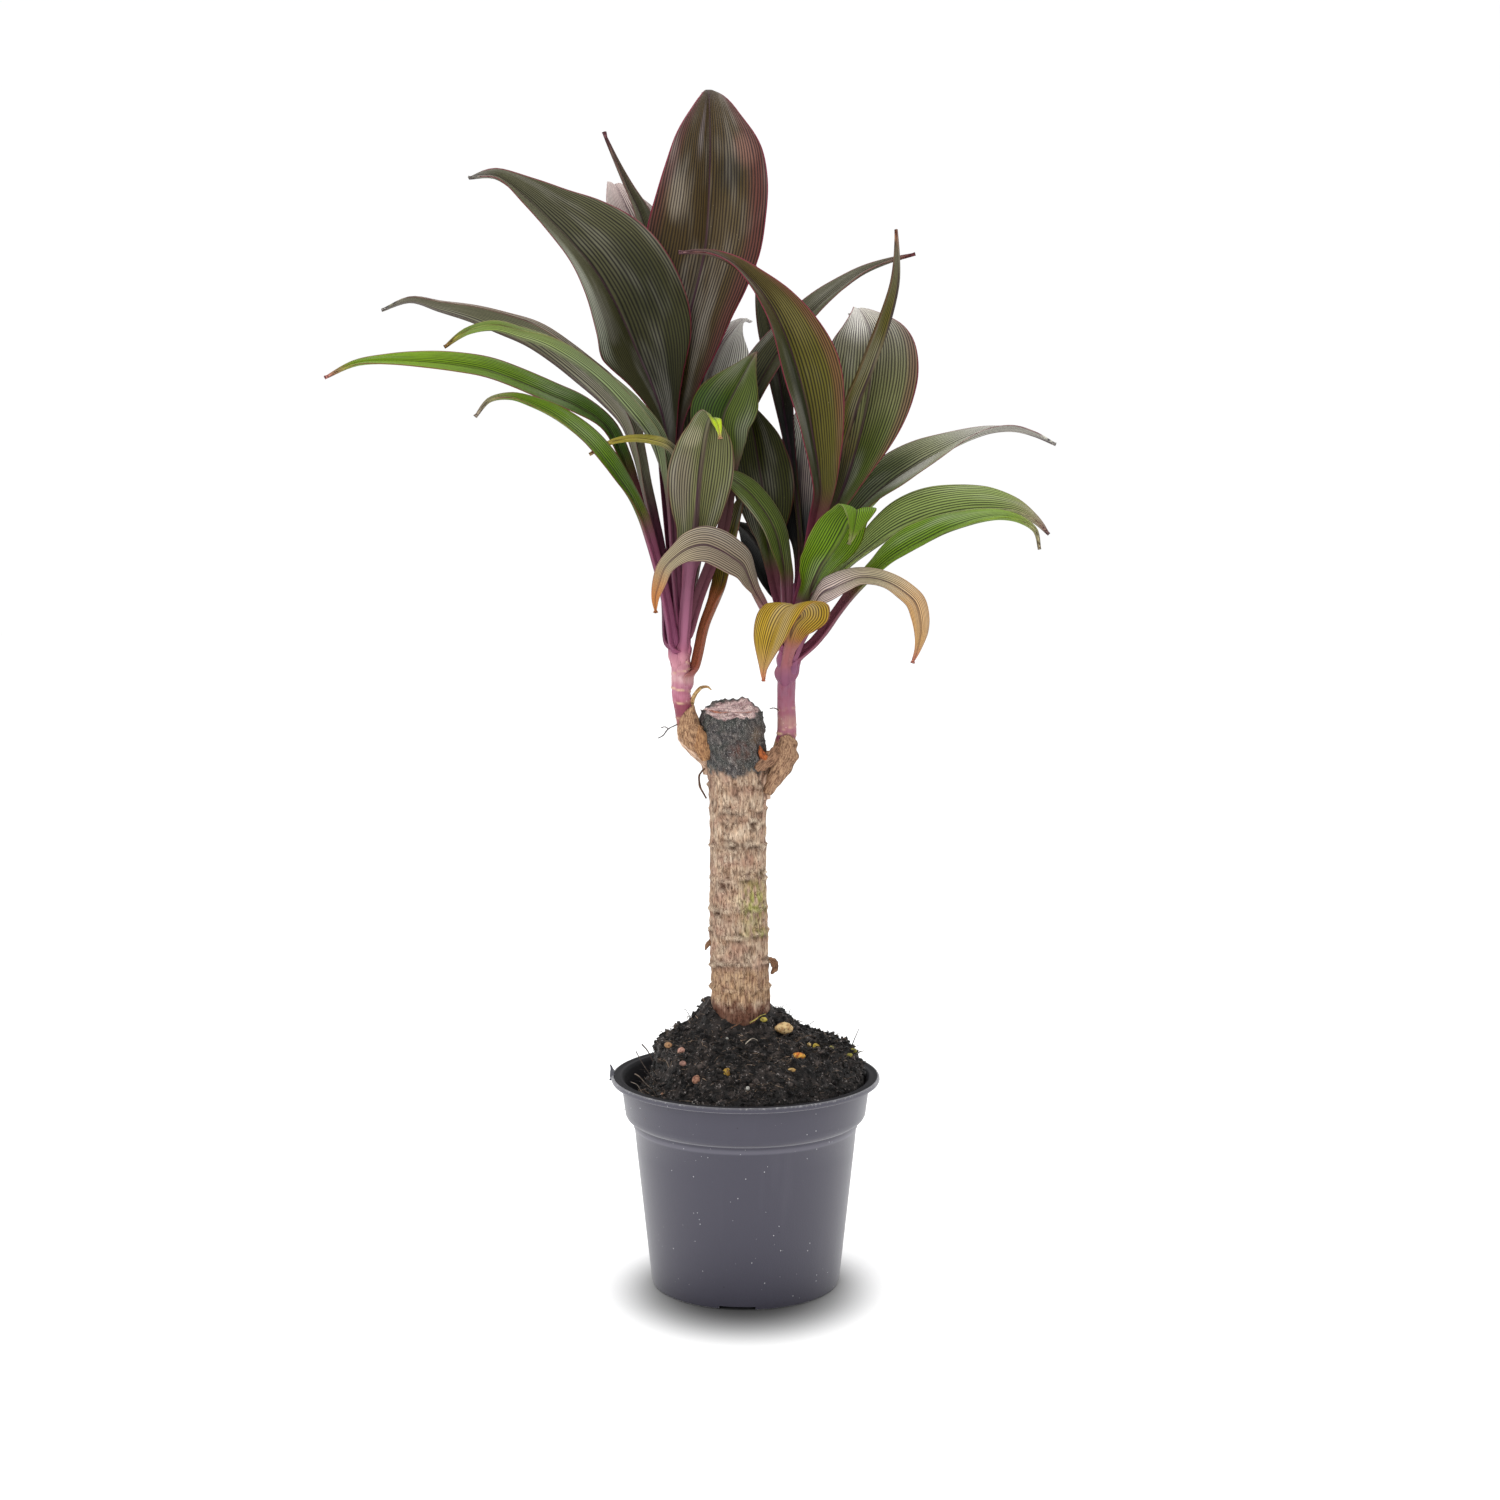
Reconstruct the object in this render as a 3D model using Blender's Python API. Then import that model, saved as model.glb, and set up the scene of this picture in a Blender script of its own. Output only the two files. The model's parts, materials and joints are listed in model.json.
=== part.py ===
"""A ti plant in a nursery pot: a cut cane with two leafy shoots, in a mound of peat.

Metres, +Z up. The origin is the middle of the pot's underside, and the plant is seen from -Y.
"""

import itertools
import math

import bmesh
import bpy
from mathutils import Matrix, Vector
from mathutils.bvhtree import BVHTree

MM = 0.001
GAP = 0.3 * MM

# The pot, a round nursery pot with a rim 120 mm across.
POT_RIM_RADIUS = 60.0 * MM
POT_HEIGHT = 94.0 * MM
POT_BASE_RADIUS = 42.3 * MM
POT_SHOULDER_HEIGHT = 74.5 * MM
POT_SHOULDER_RADIUS = 50.0 * MM
POT_BAND_RADIUS = 55.5 * MM
POT_BAND_FOOT_RADIUS = 53.8 * MM
POT_WALL = 1.4 * MM
POT_FLOOR = 3.2 * MM
POT_LIP_HEIGHT = 3.0 * MM
POT_EDGE = 0.6 * MM
POT_ROUNDING = 1.0 * MM
POT_BEAD_DEPTH = 0.7 * MM
POT_BEAD_HEIGHT = 1.8 * MM
POT_SIDES = 48

GROOVE_COUNT = 4
GROOVE_WIDTH = 16.0 * MM
GROOVE_DEPTH = 1.6 * MM
GROOVE_START = 20.0 * MM
GROOVE_TURN = math.radians(-5.0)
DRAIN_RADIUS = 4.0 * MM
DRAIN_PLACE = 30.0 * MM
DRAIN_SIDES = 16
CUTTER_REACH = 8.0 * MM

# The mound of peat, and the socket in it that the cane stands in.
MOUND_PEAK = 127.0 * MM
MOUND_EDGE = 91.0 * MM
MOUND_LEFT_HOLLOW = 6.0 * MM
MOUND_BULGE = 0.9
MOUND_LUMPS = 1.3 * MM
LUMP_SPACING = 10.3 * MM
SOIL_EDGE_GAP = 1.6 * MM
SOIL_SIDE_GAP = 0.5 * MM
GRAIN_RISE = 0.15
SOIL_SIDES = 44
SOIL_RINGS = 7
SOCKET_FLOOR = 60.0 * MM

CANE_FOOT = Vector((-2.0 * MM, 0.0, SOCKET_FLOOR + GAP))
CANE_RADIUS = 13.1 * MM
CANE_CUT_HEIGHT = 257.0 * MM
CANE_CUT_SLOPE = 0.25
CANE_CUT_BEVEL = 0.8 * MM
CANE_SIDES = 24
SHOOT_SIDES = 16

# The bud scale at the front right of the cane's coated end: place, way out, and half sizes.
BUD_MIDDLE = Vector((-5.0, 0.0, 237.5)) * MM
BUD_OUT = 15.7 * MM
BUD_TURN = math.radians(-34.0)
BUD_SIZE = (1.3 * MM, 2.0 * MM, 3.0 * MM)

LEAF_STEPS = 16
STRIP_STEPS = 6
LEAF_THICKNESS = 0.8 * MM
STALK_THICKNESS = 1.5 * MM
STALK_FOLD = math.radians(35.0)
STALK_HALF_WIDTH = 2.6 * MM
BLADE_HALF_WIDTH = 5.6 * MM
TIP_SHARE = 0.7
TIP_HALF_WIDTH = 0.3 * MM
LEAF_CROSS = (-1.0, -0.5, 0.0, 0.5, 1.0)

# How stalks and blades that would meet are moved apart.
LEAF_MARGIN = 0.25 * MM
PUSH_STEP = 0.4 * MM
PUSH_REACH = 4
PUSH_ROUNDS = 120

# The cane's horizontal sections above the socket, in millimetres: height, middle x, radius.
CANE_SECTIONS = (
    (126, -2.0, 13.1),
    (142, -2.5, 12.9),
    (158, -3.0, 13.0),
    (176, -3.2, 12.6),
    (195, -3.3, 12.4),
    (212, -3.4, 12.5),
    (226, -3.6, 12.8),
    (234, -4.4, 13.4),
    (244, -5.7, 14.2),
    (251, -6.0, 14.0),
)

# Each shoot's horizontal sections, in millimetres: height, middle x, middle y, radius.
LEFT_SHOOT_SECTIONS = (
    (232, -19.2, 0.0, 1.2),
    (238, -22.8, 0.0, 3.6),
    (244, -25.1, 0.0, 4.7),
    (250, -25.4, 0.0, 4.8),
    (256, -26.6, 0.0, 4.4),
    (264, -28.2, 0.0, 4.2),
    (276, -28.4, 0.0, 4.2),
    (287, -28.2, 0.5, 4.0),
    (297, -27.5, 1.0, 3.0),
    (306, -27.0, 1.5, 2.0),
    (313, -26.8, 2.0, 1.2),
)
RIGHT_SHOOT_SECTIONS = (
    (221, 11.4, 0.0, 1.2),
    (226, 13.0, 0.0, 3.0),
    (232, 14.9, 0.0, 4.4),
    (240, 16.6, 0.0, 4.7),
    (248, 18.2, 0.0, 4.3),
    (262, 17.9, 0.0, 4.0),
    (275, 18.3, 0.0, 4.1),
    (288, 19.1, 0.5, 3.9),
    (298, 19.9, 1.0, 3.0),
    (306, 20.4, 1.5, 2.0),
    (313, 20.7, 2.0, 1.2),
)

# Grains of feed and flecks of bark on the mound, in millimetres: name, x, y, radius, colour.
GRAINS = (
    ("grain_tan", 17, -14, 3.8, (0.42, 0.27, 0.10)),
    ("grain_orange", 23, -25, 2.6, (0.55, 0.30, 0.06)),
    ("grain_yellow", 31, -12, 2.0, (0.48, 0.33, 0.08)),
    ("grain_white", 35, -3, 1.8, (0.70, 0.66, 0.58)),
    ("grain_pale", 20, -37, 2.0, (0.52, 0.42, 0.24)),
    ("grain_front", -8, -40, 2.0, (0.46, 0.34, 0.10)),
    ("bark_fleck", -21, -38, 2.6, (0.34, 0.20, 0.13)),
    ("bark_chip", -28, -24, 2.2, (0.36, 0.22, 0.16)),
)

# Colours, as linear reflectance.
PLASTIC = (0.100, 0.095, 0.122)
PEAT = (0.016, 0.012, 0.010)
BARK = (0.36, 0.24, 0.15)
PINK = (0.30, 0.11, 0.16)
RUSSET = (0.42, 0.20, 0.07)
STRAW = (0.45, 0.30, 0.15)
BRONZE = (0.085, 0.060, 0.035)
DARK = (0.035, 0.045, 0.028)
MAUVE = (0.120, 0.100, 0.100)
SAGE = (0.120, 0.170, 0.080)
BRIGHT = (0.080, 0.190, 0.012)
OLIVE = (0.110, 0.120, 0.045)
GREEN = (0.060, 0.120, 0.040)
ORANGE = (0.420, 0.230, 0.035)
SILVER = (0.220, 0.230, 0.240)

# A leaf's row, in millimetres and degrees: path is the midrib from the stem to the tip, half is
# half the width at equal steps of length, lean is the way it leans from +X, turns is how far it
# is turned about the midrib at equal steps, and folds is how far its left and right halves fold up.
LEAVES = {
    "leaf_left_01": dict(
        path=((-26, 6, 306), (-28, 8, 332), (-30, 10, 363), (-30, 12, 389), (-25, 16, 428),
              (-18, 22, 459), (-16, 30, 491), (-16, 40, 516), (-17, 54, 533), (-19, 66, 533)),
        half=(2.1, 2.1, 2.1, 2.6, 11, 20, 26, 27, 24, 12, 0.3),
        lean=90, turns=(0, 0, 0, 12, 10), folds=(22, 18), colour=BRONZE,
    ),
    "leaf_left_02": dict(
        path=((-31, 3, 303), (-31, 4, 328), (-33, 5, 362), (-37, 5, 388), (-45, 4, 408),
              (-56, -2, 433), (-66, -8, 449), (-80, -16, 464), (-98, -26, 480), (-110, -32, 485),
              (-114, -36, 482)),
        half=(2.1, 2.1, 2.1, 2.4, 10, 25, 31, 28, 18, 8, 0.3),
        lean=180, turns=(-65, -65, -68, -52, -60), folds=(35, 20), colour=DARK,
    ),
    "leaf_left_03": dict(
        path=((-34, 1, 288), (-36, 2, 317), (-43, 2, 349), (-51, 4, 378), (-60, 6, 390),
              (-70, 7, 399), (-81, 8, 408), (-92, 9, 416), (-103, 10, 421), (-114, 11, 426),
              (-125, 12, 430), (-138, 13, 434), (-149, 14, 437), (-160, 15, 433)),
        half=(2.1, 2.1, 2.2, 2.8, 5.5, 11, 12.5, 11.5, 8, 4, 0.3),
        lean=180, turns=(-40, -35, -10, 0, 0), folds=(45, 65), colour=MAUVE,
    ),
    "leaf_left_04": dict(
        path=((-29, -3, 296), (-31, -7, 323), (-33, -9, 349), (-36, -10, 364), (-40, -11, 375),
              (-50, -12, 388), (-61, -13, 399), (-73, -14, 408), (-85, -16, 415),
              (-100, -18, 420), (-110, -19, 422), (-120, -20, 419), (-128, -21, 414)),
        half=(2.1, 2.1, 2.1, 2.6, 9, 12, 10.5, 8.5, 6, 4.5, 0.3),
        lean=180, turns=(-45, -40, 0, 0, -40), folds=(42, 55), colour=SAGE,
    ),
    "leaf_left_05": dict(
        path=((-31, 4, 284), (-36, 8, 310), (-47, 14, 345), (-57, 18, 374), (-64, 19, 384),
              (-75, 20, 391), (-89, 21, 397), (-109, 22, 405), (-127, 23, 409), (-153, 23, 411),
              (-173, 22, 410), (-187, 21, 404)),
        half=(2.1, 2.1, 2.1, 2.2, 3.5, 6.2, 6.6, 6.6, 5.8, 3.6, 0.3),
        lean=180, turns=(-50, -50, -50), folds=(20, 20), colour=BRIGHT,
    ),
    "leaf_left_06": dict(
        path=((-32, -5, 286), (-36, -10, 310), (-43, -14, 336), (-48, -16, 349), (-54, -18, 358),
              (-60, -20, 366), (-68, -22, 375), (-78, -24, 383), (-87, -26, 388),
              (-97, -28, 392), (-105, -30, 392), (-111, -31, 389), (-114, -32, 384)),
        half=(2.1, 2.1, 2.1, 2.2, 3.4, 6.5, 7, 6, 4.5, 2.2, 0.3),
        lean=190, turns=(-45, -45, -45), folds=(25, 15), colour=BRIGHT,
    ),
    "leaf_left_07": dict(
        path=((-27, -4, 299), (-26, -9, 323), (-26, -13, 353), (-31, -15, 370), (-45, -17, 375),
              (-58, -19, 374), (-67, -20, 369)),
        half=(1.6, 1.6, 1.6, 1.6, 1.7, 2, 2.6, 3, 2.6, 1.6, 0.3),
        lean=180, turns=(-30, -30, -30), folds=(20, 20), colour=OLIVE,
    ),
    "leaf_left_08": dict(
        path=((-27, -5, 288), (-25, -11, 310), (-22, -16, 332), (-20, -19, 353), (-19, -20, 370),
              (-18, -21, 381), (-16, -25, 384), (-14, -28, 374)),
        half=(2.1, 2.1, 2.1, 2.4, 6.5, 11, 14, 14.2, 11, 5, 0.3),
        lean=270, turns=(0, 0, 0), folds=(15, 15), colour=MAUVE,
    ),
    "leaf_left_09": dict(
        path=((-24, 0, 276), (-17, -2, 295), (-10, -4, 312), (-7, -2, 328), (-3, 2, 344),
              (1, 6, 358)),
        half=(2.4, 2.4, 2.4, 2.5, 3.5, 7, 9, 9, 7, 4, 0.3),
        lean=0, turns=(30, 30, 30), folds=(20, 20), colour=OLIVE,
    ),
    "leaf_left_10": dict(
        path=((-25, -2, 291), (-20, -3, 308), (-14, -4, 323), (-9, -4, 338), (-7, -4, 352),
              (-7, -4, 366), (-10, -4, 377), (-9, -3, 387), (-5, -1, 395), (0, 1, 405),
              (5, 4, 414)),
        half=(2.1, 2.1, 2.1, 2.1, 2.1, 2.2, 4, 13, 15, 10, 0.3),
        lean=80, turns=(0, 0, 0), folds=(12, 12), colour=GREEN,
    ),
    "leaf_left_11": dict(
        path=((-31, 7, 302), (-34, 13, 341), (-37, 23, 381), (-40, 32, 430), (-45, 38, 470),
              (-54, 40, 492), (-63, 42, 514)),
        half=(1.8, 1.8, 1.8, 1.8, 2, 3, 5, 5, 4, 2.2, 0.3),
        lean=120, turns=(0, 0, 0), folds=(30, 30), colour=OLIVE,
    ),
    "leaf_left_12": dict(
        path=((-28, 9, 299), (-28, 20, 341), (-30, 30, 381), (-38, 40, 426), (-48, 50, 467),
              (-56, 56, 486), (-60, 66, 492), (-62, 76, 488)),
        half=(2.1, 2.1, 2.1, 2.2, 4, 11, 16, 17, 14, 8, 0.3),
        lean=110, turns=(0, 0, 0), folds=(15, 15), colour=MAUVE,
    ),
    "leaf_left_13": dict(
        path=((-24, 7, 300), (-22, 15, 341), (-22, 22, 372), (-18, 28, 396), (-11, 34, 417),
              (-2, 44, 430), (2, 54, 431)),
        half=(2.1, 2.1, 2.1, 2.1, 3, 9, 14, 15, 12, 6, 0.3),
        lean=60, turns=(0, 0, 0), folds=(15, 15), colour=SILVER,
    ),
    "leaf_left_14": dict(
        path=((-25, 4, 301), (-21, 6, 323), (-13, 10, 358), (-3, 12, 382), (10, 13, 407),
              (24, 14, 426), (39, 14, 440), (55, 14, 451), (74, 12, 457)),
        half=(2.1, 2.1, 2.3, 5, 10, 12, 12, 9, 6.5, 3, 0.3),
        lean=0, turns=(40, 40, 40), folds=(20, 20), colour=DARK,
    ),
    "leaf_right_01": dict(
        path=((16, -4, 284), (12, -11, 292), (7, -17, 303), (3, -22, 312), (-1, -26, 321),
              (-6, -29, 325), (-11, -31, 328), (-17, -33, 330), (-23, -34, 329), (-28, -34, 326),
              (-33, -34, 322), (-36, -34, 315), (-38, -33, 308), (-38, -32, 301)),
        half=(2.1, 2.1, 2.3, 4, 7.5, 9, 9.5, 8, 5.5, 3.5, 0.3),
        lean=210, turns=(-30, -50, -65, -60, -60), folds=(5, 5), colour=MAUVE,
    ),
    "leaf_right_02": dict(
        path=((18, -3, 290), (17, -6, 306), (16, -8, 323), (12, -9, 338), (3, -10, 351),
              (-7, -11, 359), (-17, -12, 364)),
        half=(2.1, 2.1, 2.2, 3, 5, 6.5, 7, 7, 6.5, 4.5, 0.3),
        lean=180, turns=(-50, -50, -50), folds=(5, 5), colour=GREEN,
    ),
    "leaf_right_03": dict(
        path=((20, -4, 294), (24, -8, 312), (29, -10, 336), (32, -11, 353), (29, -12, 375),
              (24, -13, 398), (15, -15, 423), (4, -18, 440), (-11, -21, 452), (-28, -24, 453)),
        half=(2.1, 2.1, 2.3, 4, 11.5, 17, 19.5, 15, 8, 3, 0.3),
        lean=180, turns=(-75, -75, -75), folds=(55, 5), colour=OLIVE,
    ),
    "leaf_right_04": dict(
        path=((23, 4, 296), (27, 6, 317), (35, 8, 336), (43, 10, 354), (50, 13, 376),
              (55, 18, 400), (56, 26, 420), (52, 40, 434), (48, 54, 433)),
        half=(2.1, 2.1, 2.1, 3, 8, 15, 20, 21.5, 17, 8, 0.3),
        lean=80, turns=(0, 0, 0, 5, 10), folds=(12, 12), colour=OLIVE,
    ),
    "leaf_right_05": dict(
        path=((21, 1, 300), (27, 3, 323), (34, 4, 349), (42, 4, 372), (49, 3, 393), (54, 3, 405),
              (58, 2, 416), (62, 1, 428), (65, 1, 442), (65, 0, 454), (64, 0, 465)),
        half=(1.8, 1.8, 1.8, 2, 4, 5.5, 6, 5.5, 4.5, 2.8, 0.3),
        lean=0, turns=(0, 0, 0), folds=(58, 58), colour=OLIVE,
    ),
    "leaf_right_06": dict(
        path=((23, 6, 292), (29, 10, 310), (38, 15, 329), (52, 20, 347), (67, 23, 359),
              (87, 25, 371), (107, 26, 380), (123, 26, 381), (139, 26, 375)),
        half=(2.1, 2.1, 2.1, 3.5, 10, 14, 13, 9, 4.5, 3, 0.3),
        lean=0, turns=(35, 35, 35, 20, -30), folds=(20, 20), colour=DARK,
    ),
    "leaf_right_07": dict(
        path=((23, 2, 287), (32, 2, 303), (42, 3, 318), (55, 4, 328), (68, 3, 336), (81, 2, 341),
              (94, 1, 344), (107, 0, 345), (119, -1, 344), (127, -2, 340), (133, -2, 335)),
        half=(2.1, 2.1, 2.4, 4, 9, 13.5, 15, 13.5, 11, 6, 0.3),
        lean=0, turns=(40, 40, 40), folds=(25, 40), colour=SAGE,
    ),
    "leaf_right_08": dict(
        path=((22, -1, 281), (32, -2, 290), (45, -4, 306), (54, -6, 316), (65, -7, 325),
              (76, -8, 331), (86, -9, 336), (98, -10, 340), (108, -11, 342), (117, -11, 341),
              (124, -11, 338), (127, -11, 333), (128, -11, 328)),
        half=(2.1, 2.1, 2.1, 3, 7, 10, 9.5, 7, 4.5, 2.5, 0.3),
        lean=0, turns=(35, 35, 35), folds=(20, 30), colour=BRIGHT,
    ),
    "leaf_right_09": dict(
        path=((23, 8, 289), (31, 15, 307), (41, 24, 327), (52, 29, 343), (62, 32, 354)),
        half=(1.8, 1.8, 1.8, 2.2, 4, 6, 7, 6, 4, 2, 0.3),
        lean=20, turns=(20, 20, 20), folds=(20, 20), colour=BRIGHT,
    ),
    "leaf_right_10": dict(
        path=((21, -5, 289), (24, -11, 301), (28, -16, 312), (32, -20, 321), (37, -23, 328),
              (41, -25, 335), (44, -27, 341), (47, -30, 345), (47, -34, 344), (46, -37, 338),
              (44, -38, 330)),
        half=(2.1, 2.1, 2.3, 4, 9, 13, 14, 12, 9, 5, 0.3),
        lean=300, turns=(0, 0, 0), folds=(8, 8), colour=BRIGHT,
    ),
    "leaf_right_11": dict(
        path=((22, -4, 282), (26, -10, 293), (29, -14, 302), (32, -18, 308), (35, -22, 310),
              (41, -25, 313), (47, -28, 316), (53, -30, 316), (59, -32, 315), (64, -34, 312),
              (70, -35, 308), (73, -36, 302), (74, -37, 294), (73, -37, 287), (71, -37, 280)),
        half=(2.1, 2.1, 3.5, 7, 8.5, 5.5, 4.5, 5, 4.8, 3.5, 0.3),
        lean=330, turns=(40, 50, 45, 40, 40), folds=(10, 10), colour=MAUVE,
    ),
    "leaf_right_12": dict(
        path=((17.3, -5.3, 278), (19, -13, 287), (22, -19, 296), (25, -25, 301), (22, -31, 304),
              (17, -36, 303), (13, -40, 297), (10, -43, 288), (8, -45, 280), (7, -45, 273)),
        half=(2.1, 2.2, 4, 8, 11.5, 12.5, 12, 10.5, 8, 4.5, 0.3),
        lean=235, turns=(0, 0, 0), folds=(10, 5), colour=ORANGE,
    ),
    "leaf_right_13": dict(
        path=((19, 4, 299), (18, 8, 323), (17, 10, 343), (14, 13, 363), (11, 17, 380),
              (7, 22, 396)),
        half=(2.1, 2.1, 2.2, 4, 8, 11, 12, 11, 8.5, 5, 0.3),
        lean=100, turns=(0, 0, 0), folds=(12, 12), colour=OLIVE,
    ),
    "leaf_right_14": dict(
        path=((21, 7, 300), (23, 10, 323), (21, 14, 347), (17, 20, 376), (13, 26, 403),
              (8, 31, 430), (2, 36, 456)),
        half=(2.6, 3, 4, 6, 8, 9, 9.5, 9, 8, 5.5, 0.3),
        lean=110, turns=(0, 0, 0), folds=(15, 15), colour=DARK,
    ),
    "leaf_right_15": dict(
        path=((22, 8, 297), (25, 13, 319), (24, 18, 345), (25, 24, 367), (27, 30, 385),
              (28, 38, 401)),
        half=(2.1, 2.1, 2.2, 4, 8, 11, 12, 11, 8, 5, 0.3),
        lean=80, turns=(0, 0, 0), folds=(15, 15), colour=SILVER,
    ),
    "leaf_right_16": dict(
        path=((17, 3, 292), (13, 9, 310), (9, 13, 323), (2, 16, 334), (-6, 18, 341)),
        half=(2.1, 2.1, 2.4, 5, 9, 11, 12, 11, 9, 5, 0.3),
        lean=150, turns=(-20, -20, -20), folds=(12, 12), colour=DARK,
    ),
}

# A curled strip of dry sheath that stands up from the left shoot's heel.
DRIED_STRIP = dict(
    path=((-22.2, -2, 259), (-22, -2.4, 263), (-20, -2.6, 266), (-16.4, -2.4, 267.5)),
    half=(1.0, 1.1, 0.9, 0.4),
    lean=0, turns=(0, 0, 0), folds=(20, 20), colour=STRAW,
)


def clear_scene():
    for item in list(bpy.data.objects):
        bpy.data.objects.remove(item, do_unlink=True)


def paint(item, colour, roughness, metallic=0.0):
    """Gives a piece a plain material of its own."""
    material = bpy.data.materials.new(item.name)
    material.use_nodes = True
    shader = material.node_tree.nodes["Principled BSDF"]
    shader.inputs["Base Color"].default_value = (*colour, 1.0)
    shader.inputs["Roughness"].default_value = roughness
    shader.inputs["Metallic"].default_value = metallic
    item.data.materials.append(material)


def add_piece(name, bm, smooth_angle=40.0):
    """Puts a finished bmesh in the scene as the piece of that name."""
    bmesh.ops.recalc_face_normals(bm, faces=bm.faces)
    mesh = bpy.data.meshes.new(name)
    bm.to_mesh(mesh)
    bm.free()
    mesh.shade_smooth()
    mesh.set_sharp_from_angle(angle=math.radians(smooth_angle))
    item = bpy.data.objects.new(name, mesh)
    bpy.context.scene.collection.objects.link(item)
    return item


def join_rings(bm, rings):
    """Bridges closed rings of equal count in order, and closes both ends with a face."""
    count = len(rings[0])
    for low, high in zip(rings, rings[1:]):
        for i in range(count):
            j = (i + 1) % count
            bm.faces.new((low[i], low[j], high[j], high[i]))
    bm.faces.new(list(reversed(rings[0])))
    bm.faces.new(rings[-1])


def join_leaf_rings(bm, rings):
    """Joins a leaf's sections with triangles, cut the same way on its upper side and underside."""
    count = len(rings[0])
    for low, high in zip(rings, rings[1:]):
        for i in range(count):
            j = (i + 1) % count
            upper = i < len(LEAF_CROSS) - 1
            bm.faces.new((low[i], low[j], high[j] if upper else high[i]))
            bm.faces.new((low[i] if upper else low[j], high[j], high[i]))
    bm.faces.new(list(reversed(rings[0])))
    bm.faces.new(rings[-1])


def circle_points(middle, radius, sides):
    """The corners of a level ring."""
    return [
        middle + Vector((math.cos(a), math.sin(a), 0.0)) * radius
        for a in (math.tau * i / sides for i in range(sides))
    ]


def cut_with(item, cutter):
    """Subtracts a hidden cutter from a piece."""
    cutter.hide_render = True
    cutter.display_type = "WIRE"
    cut = item.modifiers.new(cutter.name, "BOOLEAN")
    cut.operation = "DIFFERENCE"
    cut.solver = "EXACT"
    cut.object = cutter


def pot_profile():
    """The pot's outline as radius and height, from the middle of the underside round to the floor."""
    shoulder, band = POT_SHOULDER_HEIGHT, POT_HEIGHT - POT_LIP_HEIGHT
    bead = POT_SHOULDER_RADIUS + POT_BEAD_DEPTH / 2
    outer = [
        (POT_BASE_RADIUS - POT_EDGE, 0.0),
        (POT_BASE_RADIUS, POT_EDGE),
        (bead - POT_BEAD_DEPTH, shoulder - 2 * POT_BEAD_HEIGHT),
        (bead, shoulder - POT_BEAD_HEIGHT),
        (bead, shoulder),
        (POT_BAND_FOOT_RADIUS - POT_ROUNDING, shoulder + POT_ROUNDING),
        (POT_BAND_FOOT_RADIUS, shoulder + 3 * POT_ROUNDING),
        (POT_BAND_RADIUS, band - POT_EDGE),
        (POT_RIM_RADIUS - POT_EDGE, band),
        (POT_RIM_RADIUS, band + POT_EDGE),
        (POT_RIM_RADIUS, POT_HEIGHT - POT_EDGE),
        (POT_RIM_RADIUS - POT_EDGE, POT_HEIGHT),
    ]
    inner = [
        (POT_BAND_RADIUS, POT_HEIGHT),
        (POT_BAND_RADIUS - POT_WALL, POT_HEIGHT - 2 * POT_ROUNDING),
        (POT_BAND_FOOT_RADIUS - POT_WALL, shoulder + 3 * POT_ROUNDING + POT_EDGE),
        (POT_SHOULDER_RADIUS - POT_WALL, shoulder),
        (POT_SHOULDER_RADIUS - POT_WALL - POT_EDGE, shoulder - 3 * POT_ROUNDING),
        (POT_BASE_RADIUS - POT_WALL, POT_FLOOR),
    ]
    return outer + inner


def make_pot():
    bm = bmesh.new()
    rings = []
    for radius, height in pot_profile():
        points = circle_points(Vector((0.0, 0.0, height)), radius, POT_SIDES)
        rings.append([bm.verts.new(p) for p in points])
    join_rings(bm, rings)
    pot = add_piece("pot", bm)
    paint(pot, PLASTIC, 0.42)
    cut_with(pot, make_groove_cutter())
    cut_with(pot, make_drain_cutter())
    return pot


def groove_direction(i):
    """The way a groove runs out from the middle of the pot's underside."""
    turn = math.tau * i / GROOVE_COUNT + GROOVE_TURN
    return Vector((math.cos(turn), math.sin(turn), 0.0))


def add_prism(bm, outline, low, high):
    """Adds an upright prism over a level outline, between two heights."""
    rings = [[bm.verts.new((p.x, p.y, height)) for p in outline] for height in (low, high)]
    join_rings(bm, rings)


def make_groove_cutter():
    """Grooves under the pot that run out through its foot."""
    bm = bmesh.new()
    for i in range(GROOVE_COUNT):
        out = groove_direction(i)
        side = Vector((-out.y, out.x, 0.0)) * (GROOVE_WIDTH / 2)
        near, far = out * GROOVE_START, out * (POT_BASE_RADIUS + CUTTER_REACH)
        add_prism(bm, (near - side, far - side, far + side, near + side), -CUTTER_REACH, GROOVE_DEPTH)
    return add_piece("groove_cutter", bm)


def make_drain_cutter():
    """A drain hole through the pot's floor in each groove."""
    bm = bmesh.new()
    for i in range(GROOVE_COUNT):
        outline = circle_points(groove_direction(i) * DRAIN_PLACE, DRAIN_RADIUS, DRAIN_SIDES)
        add_prism(bm, outline, -CUTTER_REACH, CUTTER_REACH)
    return add_piece("drain_cutter", bm)


def lump(x, y):
    """A repeatable unevenness between -1 and 1 that varies over about a centimetre."""
    across, away = math.tau * x / LUMP_SPACING, math.tau * y / LUMP_SPACING
    fine = math.sin(across + 1.3) * math.cos(0.87 * away - 0.4)
    broad = math.sin(0.48 * across - 0.61 * away + 2.1)
    return 0.6 * fine + 0.4 * broad


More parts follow.
